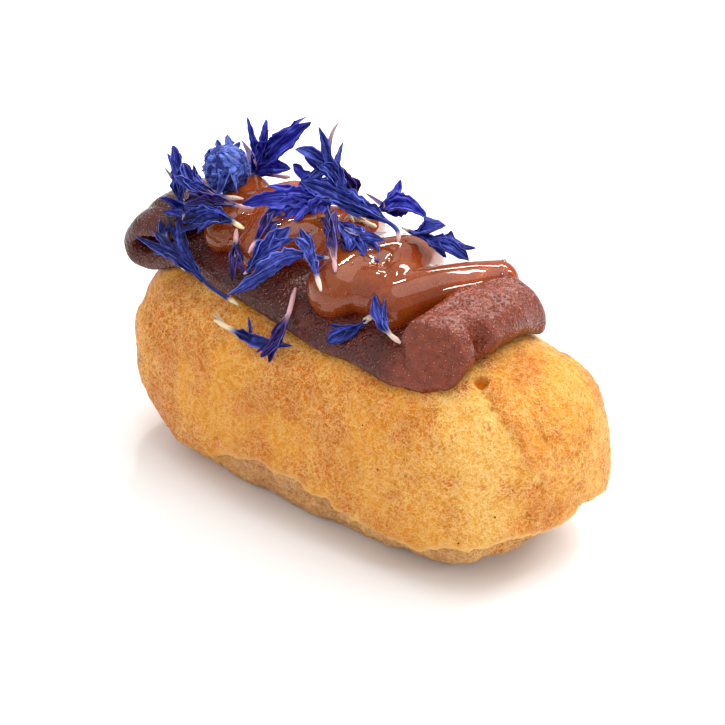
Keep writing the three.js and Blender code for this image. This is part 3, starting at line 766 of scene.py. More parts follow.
# %% List of the florets
FLORETS = {
    "upright_left": dict(
        spine=[[-25.8, -6.2, 32], [-29.5, -3.3, 34.9], [-32.1, -1.4, 39.4]],
        blades=[[1.04, 0, 0, 2.2, 0.25], [0.92, -0.9, 0.5, 1.5, 0.35], [0.33, -2.8, 1, 1.6, 0.1],
                [0.13, -2.7, 1.2, 1.5, 0.05], [0.71, 0.8, 0.6, 1.6, 0.3]],
        threads=[[0.74, -1.6, 0.3, 0.5, 0.4]],
        roll=20, cup=55, finish="blue", pale=0.1, crumple=0.2),
    "curl_left": dict(
        spine=[[-19.9, -1.1, 35.5], [-24, -3.5, 36.1], [-29.6, -1.8, 38.1]],
        blades=[[1.03, -0.1, 0, 2.2, 0.3], [0.93, -2.7, 0.4, 1.8, 0.35],
                [0.83, 0, 0.6, 0.9, 0.5]],
        cup=55, finish="blue", pale=0.25, crumple=0.2),
    "dark_across": dict(
        spine=[[-16.2, -3.2, 36.3], [-20.2, -4.7, 36.3], [-26.2, -5.7, 35.3]],
        blades=[[1.04, 0, 0, 2, 0.25], [0.96, 0.9, 0.5, 1.3, 0.3], [0.93, -1.4, 0.3, 1.5, 0.3],
                [0.81, 1.8, 0.7, 1, 0.3]],
        threads=[[0.67, 1.4, 0.8, 0.5, 0.2]],
        roll=10, cup=75, finish="purple", pale=0.28, crumple=0.25),
    "dark_under": dict(
        spine=[[-14.5, -7, 35.5], [-18.5, -7, 36], [-23.5, -7.5, 34.5]],
        blades=[[1.11, -1.1, 0, 2.3, 0.2], [0.71, -2.3, 0.3, 2.6, 0.3],
                [0.42, 0.1, 0.7, 1.2, 0.45], [1.09, 0.6, 0.4, 1.8, 0.25],
                [1.05, -2.8, 0.2, 1.2, 0.3]],
        roll=-30, cup=50, finish="navy", pale=0.22, crumple=0.25),
    "edge_long": dict(
        spine=[[-12.2, -10.9, 26.6], [-17.7, -11.6, 28.6], [-27.5, -8.6, 30.8]],
        blades=[[1.09, -3.2, 0.5, 1.2, 0.55], [0.91, -2.9, 0.8, 1.1, 0.5],
                [1.1, -0.5, 0.2, 2, 0.5], [1.17, 2.7, 0, 1.6, 0.55], [1.04, 3.2, 0.4, 1.7, 0.5]],
        cup=45, finish="navy", pale=0.12, crumple=0.3),
    "edge_tube": dict(
        spine=[[-22.4, -10, 27.6], [-26.9, -8.5, 29.1], [-28.9, -8, 31.6]],
        blades=[[1.04, 0.4, 0, 1.1, 0.5], [0.89, 1, 0.4, 1, 0.5]],
        cup=60, finish="navy", pale=0.75, crumple=0.15),
    "big_fan": dict(
        spine=[[-24.4, 5.7, 34.9], [-23.1, 6.7, 38.3], [-20.8, 8.8, 42.9]],
        blades=[[0.68, -4.7, 0, 1.2, 0.02], [0.83, -2.4, 0, 1.6, 0.02],
                [0.76, -1.2, 0.4, 1.5, 0.02], [1.23, 1.9, 0.4, 1.3, 0.05],
                [1.17, 2.6, 0, 2.9, 0.02], [0.45, 4.1, -0.2, 2, 0]],
        threads=[[0.33, -3.7, 0.8, 1.5, 0]],
        cup=25, finish="bright", pale=0, crumple=0.2),
    "back_tube": dict(
        spine=[[-19.4, 7.8, 35.3], [-22, 7.1, 35], [-24.9, 7.2, 34.4]],
        blades=[[1.18, 0.2, 0, 1, 0.4], [0.88, -0.9, 0.3, 1, 0.4]],
        cup=80, finish="purple", pale=0.5, crumple=0.15),
    "centre_bright": dict(
        spine=[[-6.9, 5.7, 36.3], [-10.9, 1.6, 37.5], [-15.7, -4.3, 37.1]],
        blades=[[1.08, 0.5, 0, 2.6, 0.25], [0.82, 3.1, 0.2, 1.8, 0.35],
                [0.35, -3.5, 0.6, 3.2, 0.2], [0.73, -5.3, 0.8, 2.4, 0.3],
                [0.9, -2.1, 0.3, 1.6, 0.45]],
        cup=28, finish="bright", pale=0.06, crumple=0.2),
    "tall": dict(
        spine=[[-3.4, 2, 36.6], [-6.1, 2.7, 39.4], [-8.3, 3.3, 42.8], [-10.1, 4.1, 46.4]],
        blades=[[1.09, -0.5, 0.2, 1.5, 0.45], [0.94, -4.3, 0.5, 2.4, 0.4],
                [0.83, -3.6, 0.9, 1.6, 0.4], [0.86, 2, 0.2, 1.3, 0.5], [0.69, 0.6, 0, 1.8, 0.3],
                [0.59, -3.8, -0.6, 1.8, 0.55]],
        threads=[[1.08, 2.4, 0, 0.5, 0.7]],
        cup=55, finish="blue", pale=0.1, crumple=0.25),
    "fan_left": dict(
        spine=[[-10.3, 7.6, 34.7], [-13.7, 7.7, 35.4], [-17.2, 7.3, 36.2]],
        blades=[[1.31, 1.2, 0, 1.6, 0.3], [0.94, -0.9, 0.3, 2.8, 0.2], [0.88, -2.1, 0.2, 2, 0.3],
                [0.6, -2, 0.6, 1.8, 0.3]],
        cup=35, finish="bright", pale=0.1, crumple=0.25),
    "lean_right": dict(
        spine=[[-7.4, 7.7, 36.2], [-9, 7.8, 38], [-10.9, 7.1, 40]],
        blades=[[1.1, 0.3, 0, 2.6, 0.15], [0.63, 0.2, 0.4, 1.8, 0.1]],
        cup=60, finish="purple", pale=0.1, crumple=0.15),
    "long_back": dict(
        spine=[[4.5, 1.6, 36.7], [3.9, 2.1, 38], [1.4, 2.2, 38.7], [-2.1, 2.3, 38.9],
               [-5.2, 2.1, 39.2]],
        blades=[[1.62, -1.6, 0, 2.2, 0.45], [1.48, 0.5, 0.2, 1.9, 0.5], [0.95, 1.2, 0.5, 1, 0.5],
                [1.15, -0.8, 0.5, 1.5, 0.45], [1.3, -2.2, -0.3, 1.4, 0.5]],
        cup=45, finish="blue", pale=0.2, crumple=0.15),
    "long_right": dict(
        spine=[[2, 5.4, 36.3], [6.6, 4.4, 36.9], [10.1, 5.1, 36.7], [13.5, 5.9, 36.3]],
        blades=[[0.51, -2.2, 0, 2.8, 0.15], [0.9, -0.4, 0.2, 2, 0.4], [0.98, -0.9, 0.3, 1, 0.5],
                [0.95, 0.8, 0, 2.2, 0.3], [0.75, 2, 0.4, 1.3, 0.3]],
        cup=45, finish="blue", pale=0.1, crumple=0.25),
    "fan_right": dict(
        spine=[[-5.4, 9.2, 34.7], [-3.5, 11, 35.5], [-1.7, 13.3, 36.7]],
        blades=[[0.73, -2.9, 0, 1.6, 0.05], [0.84, 1, 0.2, 2.9, 0.05],
                [0.96, 3.8, 0.4, 2.6, 0.05], [0.85, 2, 0.2, 1.8, 0.2]],
        threads=[[-0.11, -2.7, 0.5, 0.6, 0.1]],
        cup=28, finish="bright", pale=0.04, crumple=0.2),
    "cream_bulb": dict(
        spine=[[-1.2, 4, 35.8], [-2.7, 3.5, 36.3], [-4.2, 3.5, 36.8]],
        blades=[[1.15, 0, 0, 1.2, 0.5], [0.8, -0.7, 0.1, 1.2, 0.5], [1.11, -0.9, 0.2, 1, 0.5]],
        cup=90, finish="navy", pale=1.2, crumple=0.15),
    "dark_blue": dict(
        spine=[[-4.7, 0.1, 37.3], [0.3, -1.8, 37.1], [4.8, -2.2, 36.1]],
        blades=[[0.98, 0.4, 0, 3, 0.1], [0.84, 1.2, 0.3, 2.6, 0.15], [0.64, 2.4, 0.5, 2.6, 0.05],
                [0.93, -1.7, 0.9, 1.3, 0.2]],
        threads=[[0.8, -3, 1, 0.6, 0.2]],
        cup=35, finish="blue", pale=0.04, crumple=0.3),
    "upright_dark": dict(
        spine=[[1.9, -7.9, 35.5], [0.1, -6.1, 37.3], [-5.5, -0.8, 39.5]],
        blades=[[1.01, 0.1, 0, 1.8, 0.25], [0.88, 1, 0.3, 1.1, 0.35],
                [0.87, -0.9, 0.2, 1, 0.35]],
        cup=60, finish="purple", pale=0.42, crumple=0.15),
    "hanging": dict(
        spine=[[2.4, -11.3, 34.4], [-1.9, -8.2, 36.6], [-5.9, -5.9, 38.4]],
        blades=[[0.98, 0.1, 0, 1.9, 0.2], [0.88, 1, 0.3, 1.5, 0.3], [0.84, -1.1, 0.2, 1.2, 0.4]],
        cup=40, finish="blue", pale=0.2, crumple=0.15),
    "purple": dict(
        spine=[[-11.7, -9.2, 33.9], [-12.2, -6.2, 35.4], [-12.7, -3.2, 36.9]],
        blades=[[1.05, 0.1, 0, 1.6, 0.25], [0.87, -0.5, 0.3, 1.2, 0.3],
                [0.88, 1.6, 0.3, 1.1, 0.3]],
        cup=70, finish="purple", pale=0.3, crumple=0.15),
    "wide_blue": dict(
        spine=[[-11.1, -10.8, 31.6], [-9.8, -8.8, 34.2], [-8.4, -5, 37.2]],
        blades=[[1, -0.1, 0, 2.2, 0.1], [0.91, -1.4, 0.4, 1.4, 0.2], [0.92, 1.6, 0.2, 1.3, 0.3]],
        cup=35, finish="blue", pale=0.04, crumple=0.25),
    "blade": dict(
        spine=[[-0.4, -6.4, 36], [-3.3, -8.1, 36], [-6.5, -10.5, 33.8], [-11.3, -12.3, 29.4]],
        blades=[[1.03, 0.2, 0, 2.3, 0.2], [1.05, -0.4, 0.3, 0.8, 0.4]],
        cup=35, finish="blue", pale=0.04, crumple=0.15),
    "bud": dict(
        spine=[[-16.9, -5.8, 34], [-14.7, -8.5, 32.8], [-12.2, -10.8, 30.4]],
        blades=[[1.01, 0.8, 0, 1.1, 0.35], [0.94, -1, 0.3, 1, 0.35], [0.78, 1.3, 0.4, 1, 0.35],
                [0.71, -0.7, 0.6, 0.9, 0.3]],
        threads=[[0.87, -1, 0.2, 0.45, 0.5]],
        cup=75, finish="purple", pale=0.35, crumple=0.3),
    "edge_drop": dict(
        spine=[[-4.8, -8, 30.6], [-3.2, -11.3, 28.8], [-2.9, -13.7, 26.4], [-3.6, -15.5, 24]],
        blades=[[0.98, 1.3, 0.3, 0.9, 0.4], [1.03, -0.7, 0, 1.7, 0.35],
                [1.01, 0.5, 0.2, 1.3, 0.45]],
        threads=[[0.88, -0.5, 0.5, 0.5, 0.6]],
        cup=50, finish="purple", pale=0.45, crumple=0.25),
    "on_crust": dict(
        spine=[[-14.6, -13, 24.3], [-8.1, -13.2, 24.3], [-1.7, -12, 24.9]],
        blades=[[1.01, 0.1, 0, 1.6, 0.2], [0.37, -1.8, 0.6, 0.5, 0.45]],
        threads=[[-0.09, -0.9, 0.1, 0.35, 0.12], [-0.01, -1, 0.2, 0.35, 0.12]],
        cup=40, finish="navy", pale=0.3, crumple=0.1),
    "front_grey": dict(
        spine=[[7.7, -7.8, 31], [6.7, -9.3, 29.8], [3.5, -11.1, 28.2]],
        blades=[[0.89, 1, 0.3, 1, 0.4], [1.11, -0.7, 0, 2, 0.3], [0.76, -1.2, 0.2, 1.3, 0.4]],
        threads=[[-0.4, 0.6, 0, 0.8, 0.15]],
        cup=45, finish="navy", pale=0.15, crumple=0.15),
    "front_right": dict(
        spine=[[13.6, -9, 29.9], [11.2, -9.3, 31.5], [8.8, -7.8, 34.3]],
        blades=[[1.09, 0, 0, 1.5, 0.3], [0.93, 0.8, 0.3, 1, 0.4]],
        cup=60, finish="blue", pale=0.4, crumple=0.1),
}
print("florets:", len(FLORETS))

# %% Middle line and leaf of a blade
FACING = np.array([0.45, -0.5, 0.74])
LEAF_RISE, LEAF_FALL = 0.95, 0.75
KNEE_AT, WAVE_BY, CURL_BY = (0.35, 0.55), (-0.05, 0.05), (-0.12, 0.1)
BLADE_ROWS, BLADE_COLUMNS = 48, 21


def own_frame(floret):
    """The floret's base, the line to its end, the direction aside and the one that it faces."""
    spine = np.asarray(floret["spine"], dtype=float)
    chord = spine[-1] - spine[0]
    along = unit(chord)
    facing = unit(FACING - (along @ FACING) * along)
    return spine[0], chord, np.cross(along, facing), facing


def leaf(v):
    """A leaf's half width along its length: v^a (1 - v)^b, brought to 1 where it is widest."""
    widest = LEAF_RISE / (LEAF_RISE + LEAF_FALL)
    most = widest ** LEAF_RISE * (1 - widest) ** LEAF_FALL
    return v ** LEAF_RISE * (1 - v) ** LEAF_FALL / most


def creased(points, size, seed):
    """Creases of crumpled paper from -1 to 1: hills folded at their middle height."""
    return 1 - 2 * np.abs(rough_hills(points, size, seed, 2))


def blade_line(floret, row, own):
    """The middle line of a blade: it leaves the spine at its start, heads on along the spine,
    and bends to its tip by a curve of the second degree. The tip curls up or down."""
    along, aside, lift, _, start = row
    base, chord, side, facing = own_frame(floret)
    tip = base + along * chord + aside * side + lift * facing
    root = curve_points(floret["spine"], start)
    ahead = unit(curve_points(floret["spine"], start + 0.02) - root)
    reach = np.linalg.norm(tip - root)
    knee = root + ahead * reach * own.uniform(*KNEE_AT)
    v = np.linspace(0, 1, BLADE_ROWS)[:, None]
    line = (1 - v) ** 2 * root + 2 * v * (1 - v) * knee + v ** 2 * tip
    wave = own.uniform(*WAVE_BY) * np.sin(2 * np.pi * v) + own.uniform(*CURL_BY) * v ** 3
    return v, line + facing * reach * wave, reach


print("a leaf's half width at its middle:", round(leaf(0.5), 2))

# %% Blade of a floret
TUBE_RADIUS, TUBE_HALF_ANGLE = 0.28, 2.4
RAGS, RAG_SIZE, TEETH, TOOTH_SIZE = 0.42, 0.9, 0.2, 0.35
RIB_HEIGHT, VEIN_HEIGHT = 0.13, 0.06
CRUMPLE_SCALE, CRUMPLE_SIZE, CRUMPLE_SEED, CRUMPLE_FULL = 0.8, 1.3, 300, 0.8
UNROLLED, SLIM_BELOW = (0, 0.4), 1.2
ROLL_BY, TWIST_BY, CUP_TIMES, SIDES_UP = (-0.5, 0.5), (-0.8, 0.8), (0.5, 1.3), (-0.1, 0.6)
RIBS, RIB_SLANT, VEINS, VEIN_SLANT, PHASE = (5, 9), (-3, 3), (15, 20), (-2, 2), (0, 6)
# Weights of the mark for painted light and shade on the blades: its middle, then how far folds, ribs
# and veins lighten it where they stand up and darken it between; the last adds the pale rim.
SHADE_MIDDLE, FOLD_SHADE, RIB_SHADE, VEIN_SHADE, MARK_RIM = 0.5, 0.2, 0.18, 0.12, 0.32
RIM_FROM = 0.88


def blade_frame(floret, line, v, own):
    """Directions aside and out of the blade at each row: square to its line, rolled by the
    floret's own roll, by chance, and by a twist that grows towards the tip."""
    tangent = unit(np.gradient(line, axis=0))
    facing = own_frame(floret)[3]
    facing = unit(facing - (tangent @ facing)[:, None] * tangent)
    roll = math.radians(floret.get("roll", 0))
    turn = roll + own.uniform(*ROLL_BY) + own.uniform(*TWIST_BY) * v
    facing = facing * np.cos(turn) + np.cross(tangent, facing) * np.sin(turn)
    return np.cross(tangent, facing), facing


def blade_arc(width, v, ragged, half_angle):
    """Half the arc across the blade, and the arc's radius: at the root it is wrapped round the
    tube, farther on it is as wide as the leaf, and its edge is ragged."""
    slim = min(1, width / SLIM_BELOW)
    wrapped = slim * TUBE_RADIUS * TUBE_HALF_ANGLE * (1 - v) ** 3
    half_arc = (wrapped + width / 2 * leaf(v)) * ragged
    return half_arc, half_arc / half_angle


def chance_wave(q, v, own, count, slant):
    """A cosine across the blade whose count, start and slant along it are picked by chance."""
    return np.cos(q * own.uniform(*count) + own.uniform(*PHASE) + own.uniform(*slant) * v)


def blade_shade(floret, share):
    """0 in the floret's pale part and 1 past it."""
    return smooth_step(0.35 * floret["pale"], 1.3 * floret["pale"] + 0.05, share)


def blade_grid(floret, row, index, k):
    """One blade: v runs along it and q across. The arc lies in the blade's own frame, and ribs,
    veins and creases as waves and folded hills are added to its height."""
    own = np.random.default_rng(100 * index + k)
    v, line, reach = blade_line(floret, row, own)
    side, facing = blade_frame(floret, line, v, own)
    width, start = row[3], row[4]
    q = np.linspace(-1, 1, BLADE_COLUMNS)[None, :]
    at = np.stack(np.broadcast_arrays(v * reach, np.sign(q) * 5.0, index + 0.37 * k), axis=-1)
    rags = RAGS * hills(at, RAG_SIZE, seed=71) + TEETH * hills(at, TOOTH_SIZE, seed=73)
    opened = smooth_step(*UNROLLED, v)
    cup = math.radians(floret["cup"]) * own.uniform(*CUP_TIMES)
    half_angle = mix(TUBE_HALF_ANGLE, cup, opened)
    half_arc, radius = blade_arc(width, v, 1 + np.abs(q) * rags, half_angle)
    angle = half_angle * q
    rise = radius * (opened - np.cos(angle))
    rise = rise + own.uniform(*SIDES_UP) * half_arc * np.abs(q) * opened
    rib = chance_wave(q, v, own, RIBS, RIB_SLANT)
    vein = chance_wave(q, v, own, VEINS, VEIN_SLANT)
    points = line[:, None] + side[:, None] * (radius * np.sin(angle))[..., None]
    fold = creased(points * CRUMPLE_SCALE, CRUMPLE_SIZE, CRUMPLE_SEED + index)
    crumpled = floret["crumple"] * fold * np.minimum(half_arc, CRUMPLE_FULL)
    rise = rise + ((RIB_HEIGHT * rib + VEIN_HEIGHT * vein) * half_arc + crumpled) * opened
    points = points + facing[:, None] * rise[..., None]
    share = start + (1 - start) * v + 0 * q
    uv = np.stack([(q + 1) / 2 + k + 0 * v, share], axis=-1)
    shade = blade_shade(floret, share)
    # Painted light and shade: the mark is higher where folds, ribs and veins stand up, lower between
    # them, and higher again at the pale rim.
    fold_shade_and_rim = SHADE_MIDDLE + FOLD_SHADE * fold + RIB_SHADE * rib + VEIN_SHADE * vein
    fold_shade_and_rim = fold_shade_and_rim + MARK_RIM * smooth_step(RIM_FROM, 1, np.abs(q))
    return points.reshape(-1, 3), uv.reshape(-1, 2), shade.ravel(), (fold_shade_and_rim + 0 * v).ravel()


print("points of a blade:", BLADE_ROWS * BLADE_COLUMNS)

# %% Tube of a floret, and its parts in one
TUBE_PINCH, TUBE_WIDENS, TUBE_FLAT, TUBE_CLOSING = 0.45, 0.12, 0.7, 0.6
TUBE_WAVE, TUBE_CORNERS, TUBE_TWIST = 0.14, 3, 9
TUBE_RINGS, TUBE_SIDES = 26, 14
TUBE_PAST, THREAD_SHADE = 0.06, 0.35


def tube_rings(floret, last):
    """The floret's tube: closed rings along the spine, pinched at the base, three-cornered by a
    wave, and closing again inside the blades by a fourth power."""
    s = np.linspace(0, last, TUBE_RINGS)
    centre = curve_points(floret["spine"], s)
    tangent = unit(np.gradient(centre, axis=0))
    facing = unit(FACING - (tangent @ FACING)[:, None] * tangent)
    side = np.cross(tangent, facing)
    turn = np.linspace(0, 2 * np.pi, TUBE_SIDES, endpoint=False)
    radius = TUBE_RADIUS * mix(TUBE_PINCH, 1, smooth_step(0, TUBE_WIDENS, s))
    radius = radius * (1 - TUBE_CLOSING * (s / last) ** 4)
    wave = np.cos(TUBE_CORNERS * turn + TUBE_TWIST * s[:, None])
    wrinkled = radius[:, None] * (1 + TUBE_WAVE * wave)
    ring = np.cos(turn)[:, None] * side[:, None]
    ring = ring + TUBE_FLAT * np.sin(turn)[:, None] * facing[:, None]
    points = np.vstack([(centre[:, None] + wrinkled[..., None] * ring).reshape(-1, 3),
                        centre[:1], centre[-1:]])
    share = np.concatenate([np.repeat(s, TUBE_SIDES), [0, last]])
    uv = np.stack([np.append(np.tile(turn / (2 * np.pi), TUBE_RINGS), [0, 0]), share], axis=-1)
    return points, uv, blade_shade(floret, share), np.full(len(points), 0.5)


def floret_parts(floret, index):
    """Tube, blades and pale threads of one floret: their points, maps and marks in one, and the
    faces numbered to match."""
    rows = floret["blades"] + floret.get("threads", [])
    parts = [tube_rings(floret, max(row[4] for row in rows) + TUBE_PAST)]
    parts += [blade_grid(floret, row, index, k) for k, row in enumerate(rows)]
    for part in parts[1 + len(floret["blades"]):]:
        part[2][:] *= THREAD_SHADE
    faces = ring_faces(TUBE_RINGS, TUBE_SIDES)
    for k in range(len(rows)):
        start = len(parts[0][0]) + k * BLADE_ROWS * BLADE_COLUMNS
        faces += grid_faces(BLADE_ROWS, BLADE_COLUMNS, start=start).tolist()
    points, uv, shade, fold_shade_and_rim = (np.concatenate(column) for column in zip(*parts))
    return points, faces, uv, {"shade": shade, "fold_shade_and_rim": fold_shade_and_rim}


def floret_mesh(name, index):
    """One floret's parts as a mesh."""
    return make_mesh("petal_" + name, *floret_parts(FLORETS[name], index))


print("points of a tube:", TUBE_RINGS * TUBE_SIDES + 2)

# %% [markdown]
# ## The shrivelled ball
#
# One floret dried into a ball of crumpled lobes. A ball with a bumpy picture on it would show no
# lobes at its rim. So leaf-shaped patches are wrapped round a closed core in eight directions,
# each a little higher than the one before and lifting at its tip, and free blades stand out from
# between them.

# %% Lobes wrapped round the ball
BALL_CENTRE, BALL_RADIUS = np.array([-24.5, 0.8, 37.9]), 2.9
WRAPS = [
    [0.45, -0.5, 0.74, 10], [-0.75, -0.45, 0.4, 80], [0.1, -0.95, -0.1, 40], [0.8, 0.1, 0.5, 120],
    [-0.3, 0.5, 0.8, 200], [0.2, 0.9, 0.2, 160], [-0.8, 0.3, -0.3, 20], [0.5, -0.5, -0.6, 250],
]
WRAP_SIZE, WRAP_LONG, WRAP_WIDE, WRAP_GRID, WRAP_SUNK = 1.2, 1.25, 0.8, 48, 0.35
WRAP_STRETCH = np.array([0.45, 1.1, 1.1])
WRAP_OVER, WRAP_FOLD, WRAP_FINE, WRAP_TIP = 0.05, 0.4, 0.15, 0.2
FOLD_SEED, FINE_SEED, CORE_SEED = 500, 520, 541


def wrap_grid(k):
    """One lobe: a leaf-shaped patch drawn on the sphere about its own direction, by the sine
    and cosine of each point's distance from the patch's middle, with folded hills on it."""
    *direction, turn = WRAPS[k]
    axis = unit(np.array(direction))
    first = unit(np.cross(axis, [0.3, 0.2, 0.9]))
    second = np.cross(axis, first)
    u, v = np.meshgrid(np.linspace(-1, 1, WRAP_GRID), np.linspace(-1, 1, WRAP_GRID), indexing="ij")
    leafy = (1 - np.abs(u) ** 1.6) * (1 + 0.2 * np.sin(3 * u + k))
    rag_at = np.stack([6 * u, np.sign(v) * 3, 0 * u + k], -1)
    leafy = leafy * (1 + 0.35 * hills(rag_at, 1.0, seed=77))
    a, b = WRAP_SIZE * WRAP_LONG * u, WRAP_SIZE * WRAP_WIDE * v * leafy
    turned = math.radians(turn)
    x = a * math.cos(turned) - b * math.sin(turned)
    y = a * math.sin(turned) + b * math.cos(turned)
    far = np.hypot(x, y)
    ring = np.where(far > 0, np.sin(far) / np.maximum(far, 1e-9), 1)
    way = (axis * np.cos(far)[..., None] + first * (x * ring)[..., None]
           + second * (y * ring)[..., None])
    drawn = (way @ TILT) * BALL_RADIUS * WRAP_STRETCH
    fold = creased(drawn, 2.0, FOLD_SEED + k)
    fine = creased(drawn, 0.7, FINE_SEED + k)
    lift = WRAP_OVER * k + WRAP_FOLD * fold + WRAP_FINE * fine + WRAP_TIP * np.maximum(u, 0) ** 4
    points = BALL_CENTRE + way * (BALL_RADIUS - WRAP_SUNK + lift)[..., None]
    uv = np.stack([(v + 1) / 2 + k, (u + 1) / 2], axis=-1)
    # Painted light and shade on the lobe: the mark follows its creases.
    return points.reshape(-1, 3), uv.reshape(-1, 2), (0.5 + 0.3 * fold + 0.2 * fine).ravel()


print("points of a wrapped lobe:", WRAP_GRID ** 2)

# %% The whole ball
CORE_SUNK, CORE_RINGS, CORE_SIDES = 0.6, 40, 60
FREE_LOBES = dict(
    spine=[[-22.9, -0.7, 38.6], [-23.4, -0.2, 38.9], [-24, 0.6, 39.2]],
    blades=[[-2.2, -1.2, -0.3, 1.9, 0], [-1.3, -2.3, -0.8, 1.2, 0], [1.5, -3.6, -1.9, 0.7, 0],
            [2.5, -3.4, -1.7, 0.7, 0], [3.7, -1.6, -1.4, 1.1, 0], [4.2, 0, -1.6, 1.4, 0],
            [-1, 1.4, -0.6, 1.4, 0], [-2.6, 1.4, 0.2, 0.9, 0], [3, 1.5, -0.4, 1.3, 0]],
    cup=60, finish="blue", pale=0, crumple=0.3)
FREE_SEED = 40


def ball_mesh():
    """The wrapped lobes over a closed core, and free blades that stand out from between them."""
    grids = [wrap_grid(k) for k in range(len(WRAPS))]
    way = sphere_points(CORE_RINGS, CORE_SIDES)
    fold = creased(way * BALL_RADIUS, 1.1, CORE_SEED)
    core = BALL_CENTRE + way * (BALL_RADIUS - CORE_SUNK + 0.2 * fold)[:, None]
    free_points, free_faces, free_uv, free_marks = floret_parts(FREE_LOBES, FREE_SEED)
    points = np.vstack([g[0] for g in grids] + [core, free_points])
    uv = np.vstack([g[1] for g in grids] + [way[:, :2], free_uv])
    # Painted shade: the core under the lobes gets a lower mark, so it is painted darker.
    fold_shade_and_rim = np.concatenate([g[2] for g in grids] + [0.3 + 0.2 * fold, free_marks["fold_shade_and_rim"]])
    size = WRAP_GRID ** 2
    faces = copies_of(grid_faces(WRAP_GRID, WRAP_GRID).tolist(), size, len(grids))
    core_starts = len(grids) * size
    faces += [[i + core_starts for i in face] for face in ring_faces(CORE_RINGS, CORE_SIDES)]
    faces += [[i + core_starts + len(core) for i in face] for face in free_faces]
    marks = {"shade": np.ones(len(points)), "fold_shade_and_rim": fold_shade_and_rim}
    return make_mesh("petal_ball", points, faces, uv, marks)


print("lobes of the ball:", len(WRAPS), "wrapped and", len(FREE_LOBES["blades"]), "free")

# %% [markdown]
# ## Nodes for the finishes
#
# Every finish is made of nodes that read the place on the object, so nothing is painted on from
# outside. A small helper makes a node and fills or links its sockets, and the shared patterns
# are node groups.

# %% Nodes and colours


def linear(red, green, blue):
    """A colour as a screen shows it, 0..255, as the linear colour that the shader wants."""
    shown = np.array([red, green, blue]) / 255
    value = np.where(shown <= 0.04045, shown / 12.92, ((shown + 0.055) / 1.055) ** 2.4)
    return (*value.tolist(), 1.0)


def node(tree, kind, inputs=None, **settings):
    """A node with its settings, and its sockets linked or filled by name or number."""
    made = tree.nodes.new(kind)
    for key, value in settings.items():
        setattr(made, key, value)
    for key, value in (inputs or {}).items():
        if isinstance(value, bpy.types.NodeSocket):
            tree.links.new(value, made.inputs[key])
        else:
            made.inputs[key].default_value = value
    return made


def ramp(tree, value, low, high, start=0.0, end=1.0):
    """start where value is at low, end at high, and straight between."""
    made = node(tree, "ShaderNodeMapRange", {"Value": value, "From Min": low, "From Max": high,
                "To Min": start, "To Max": end})
    return made.outputs["Result"]


def blend(tree, share, a, b):
    """Two colours mixed by a share. The sockets go by number, as several share a name."""
    return node(tree, "ShaderNodeMix", {0: share, 6: a, 7: b}, data_type="RGBA").outputs[2]


def layered(tree, colour, layers):
    """Colours laid over one another; each layer is how much of it shows, and its colour."""
    for share, over in layers:
        colour = blend(tree, share, colour, over)
    return colour


def arithmetic(tree, operation, a, b):
    """One sum of two values."""
    return node(tree, "ShaderNodeMath", {0: a, 1: b}, operation=operation).outputs[0]


def on_object(tree):
    """The place on the object."""
    return node(tree, "ShaderNodeTexCoord").outputs["Object"]


def mark(tree, name):
    """A mark that was worked out with the mesh."""
    return node(tree, "ShaderNodeAttribute", attribute_name=name).outputs["Fac"]


def bumped(tree, height, millimetres, strength=1.0):
    """The normal of a surface that stands out by the height times so many millimetres."""
    made = node(tree, "ShaderNodeBump", {"Height": height, "Strength": strength,
                "Distance": millimetres * MM})
    return made.outputs["Normal"]


print("mid grey as the shader wants it:", round(linear(128, 128, 128)[0], 3))

# %% Materials and node groups


def new_finish(name):
    """An empty material and its one shader."""
    material = bpy.data.materials.new(name)
    material.use_nodes = True
    return material, material.node_tree, material.node_tree.nodes["Principled BSDF"]


def wire(tree, shader, links=None, **numbers):
    """Plain numbers set on the shader's own sockets, and patterns linked to them."""
    for key, value in numbers.items():
        shader.inputs[key.replace("_", " ")].default_value = value
    for key, value in (links or {}).items():
        tree.links.new(value, shader.inputs[key])


def pattern_group(name, inputs, outputs):
    """An empty node group with named sockets: inputs are (name, kind, default)."""
    group = bpy.data.node_groups.new(name, "ShaderNodeTree")
    for label, kind, value in inputs:
        socket = group.interface.new_socket(name=label, in_out="INPUT", socket_type=kind)
        if value is not None:
            socket.default_value = value
    for label in outputs:
        group.interface.new_socket(name=label, in_out="OUTPUT", socket_type="NodeSocketFloat")
    return group, group.nodes.new("NodeGroupInput"), group.nodes.new("NodeGroupOutput")


def use(tree, group, **values):
    """A group placed in a material with its own values; its outputs by name."""
    made = node(tree, "ShaderNodeGroup", node_tree=group)
    for key, value in values.items():
        if isinstance(value, bpy.types.NodeSocket):
            tree.links.new(value, made.inputs[key])
        else:
            made.inputs[key].default_value = value
    return made.outputs


print("materials so far:", len(bpy.data.materials))

# %% Shared patterns


def grain_group():
    """Grain of a given size in millimetres: noise drawn out along one axis, as a broad wave,
    a fine grain and fine specks."""
    group, given, result = pattern_group("grain", [
        ("Vector", "NodeSocketVector", None), ("Size", "NodeSocketFloat", 1.0),
        ("Stretch", "NodeSocketVector", (1.0, 1.0, 1.0)),
    ], ["Broad", "Fine", "Specks"])
    drawn = node(group, "ShaderNodeVectorMath", {0: given.outputs["Vector"],
                 1: given.outputs["Stretch"]}, operation="MULTIPLY").outputs[0]
    scale = arithmetic(group, "DIVIDE", 1 / MM, given.outputs["Size"])
    for label, finer, detail in (("Broad", 0.2, 3.0), ("Fine", 1.0, 5.0)):
        size = arithmetic(group, "MULTIPLY", scale, finer)
        noise = node(group, "ShaderNodeTexNoise", {"Vector": drawn, "Scale": size,
                     "Detail": detail, "Roughness": 0.6})
        group.links.new(noise.outputs["Fac"], result.inputs[label])
    cells = node(group, "ShaderNodeTexVoronoi", {"Vector": drawn, "Scale": scale})
    group.links.new(cells.outputs["Distance"], result.inputs["Specks"])
    return group


GRAIN = grain_group()
print("group sockets:", [item.name for item in GRAIN.interface.items_tree])
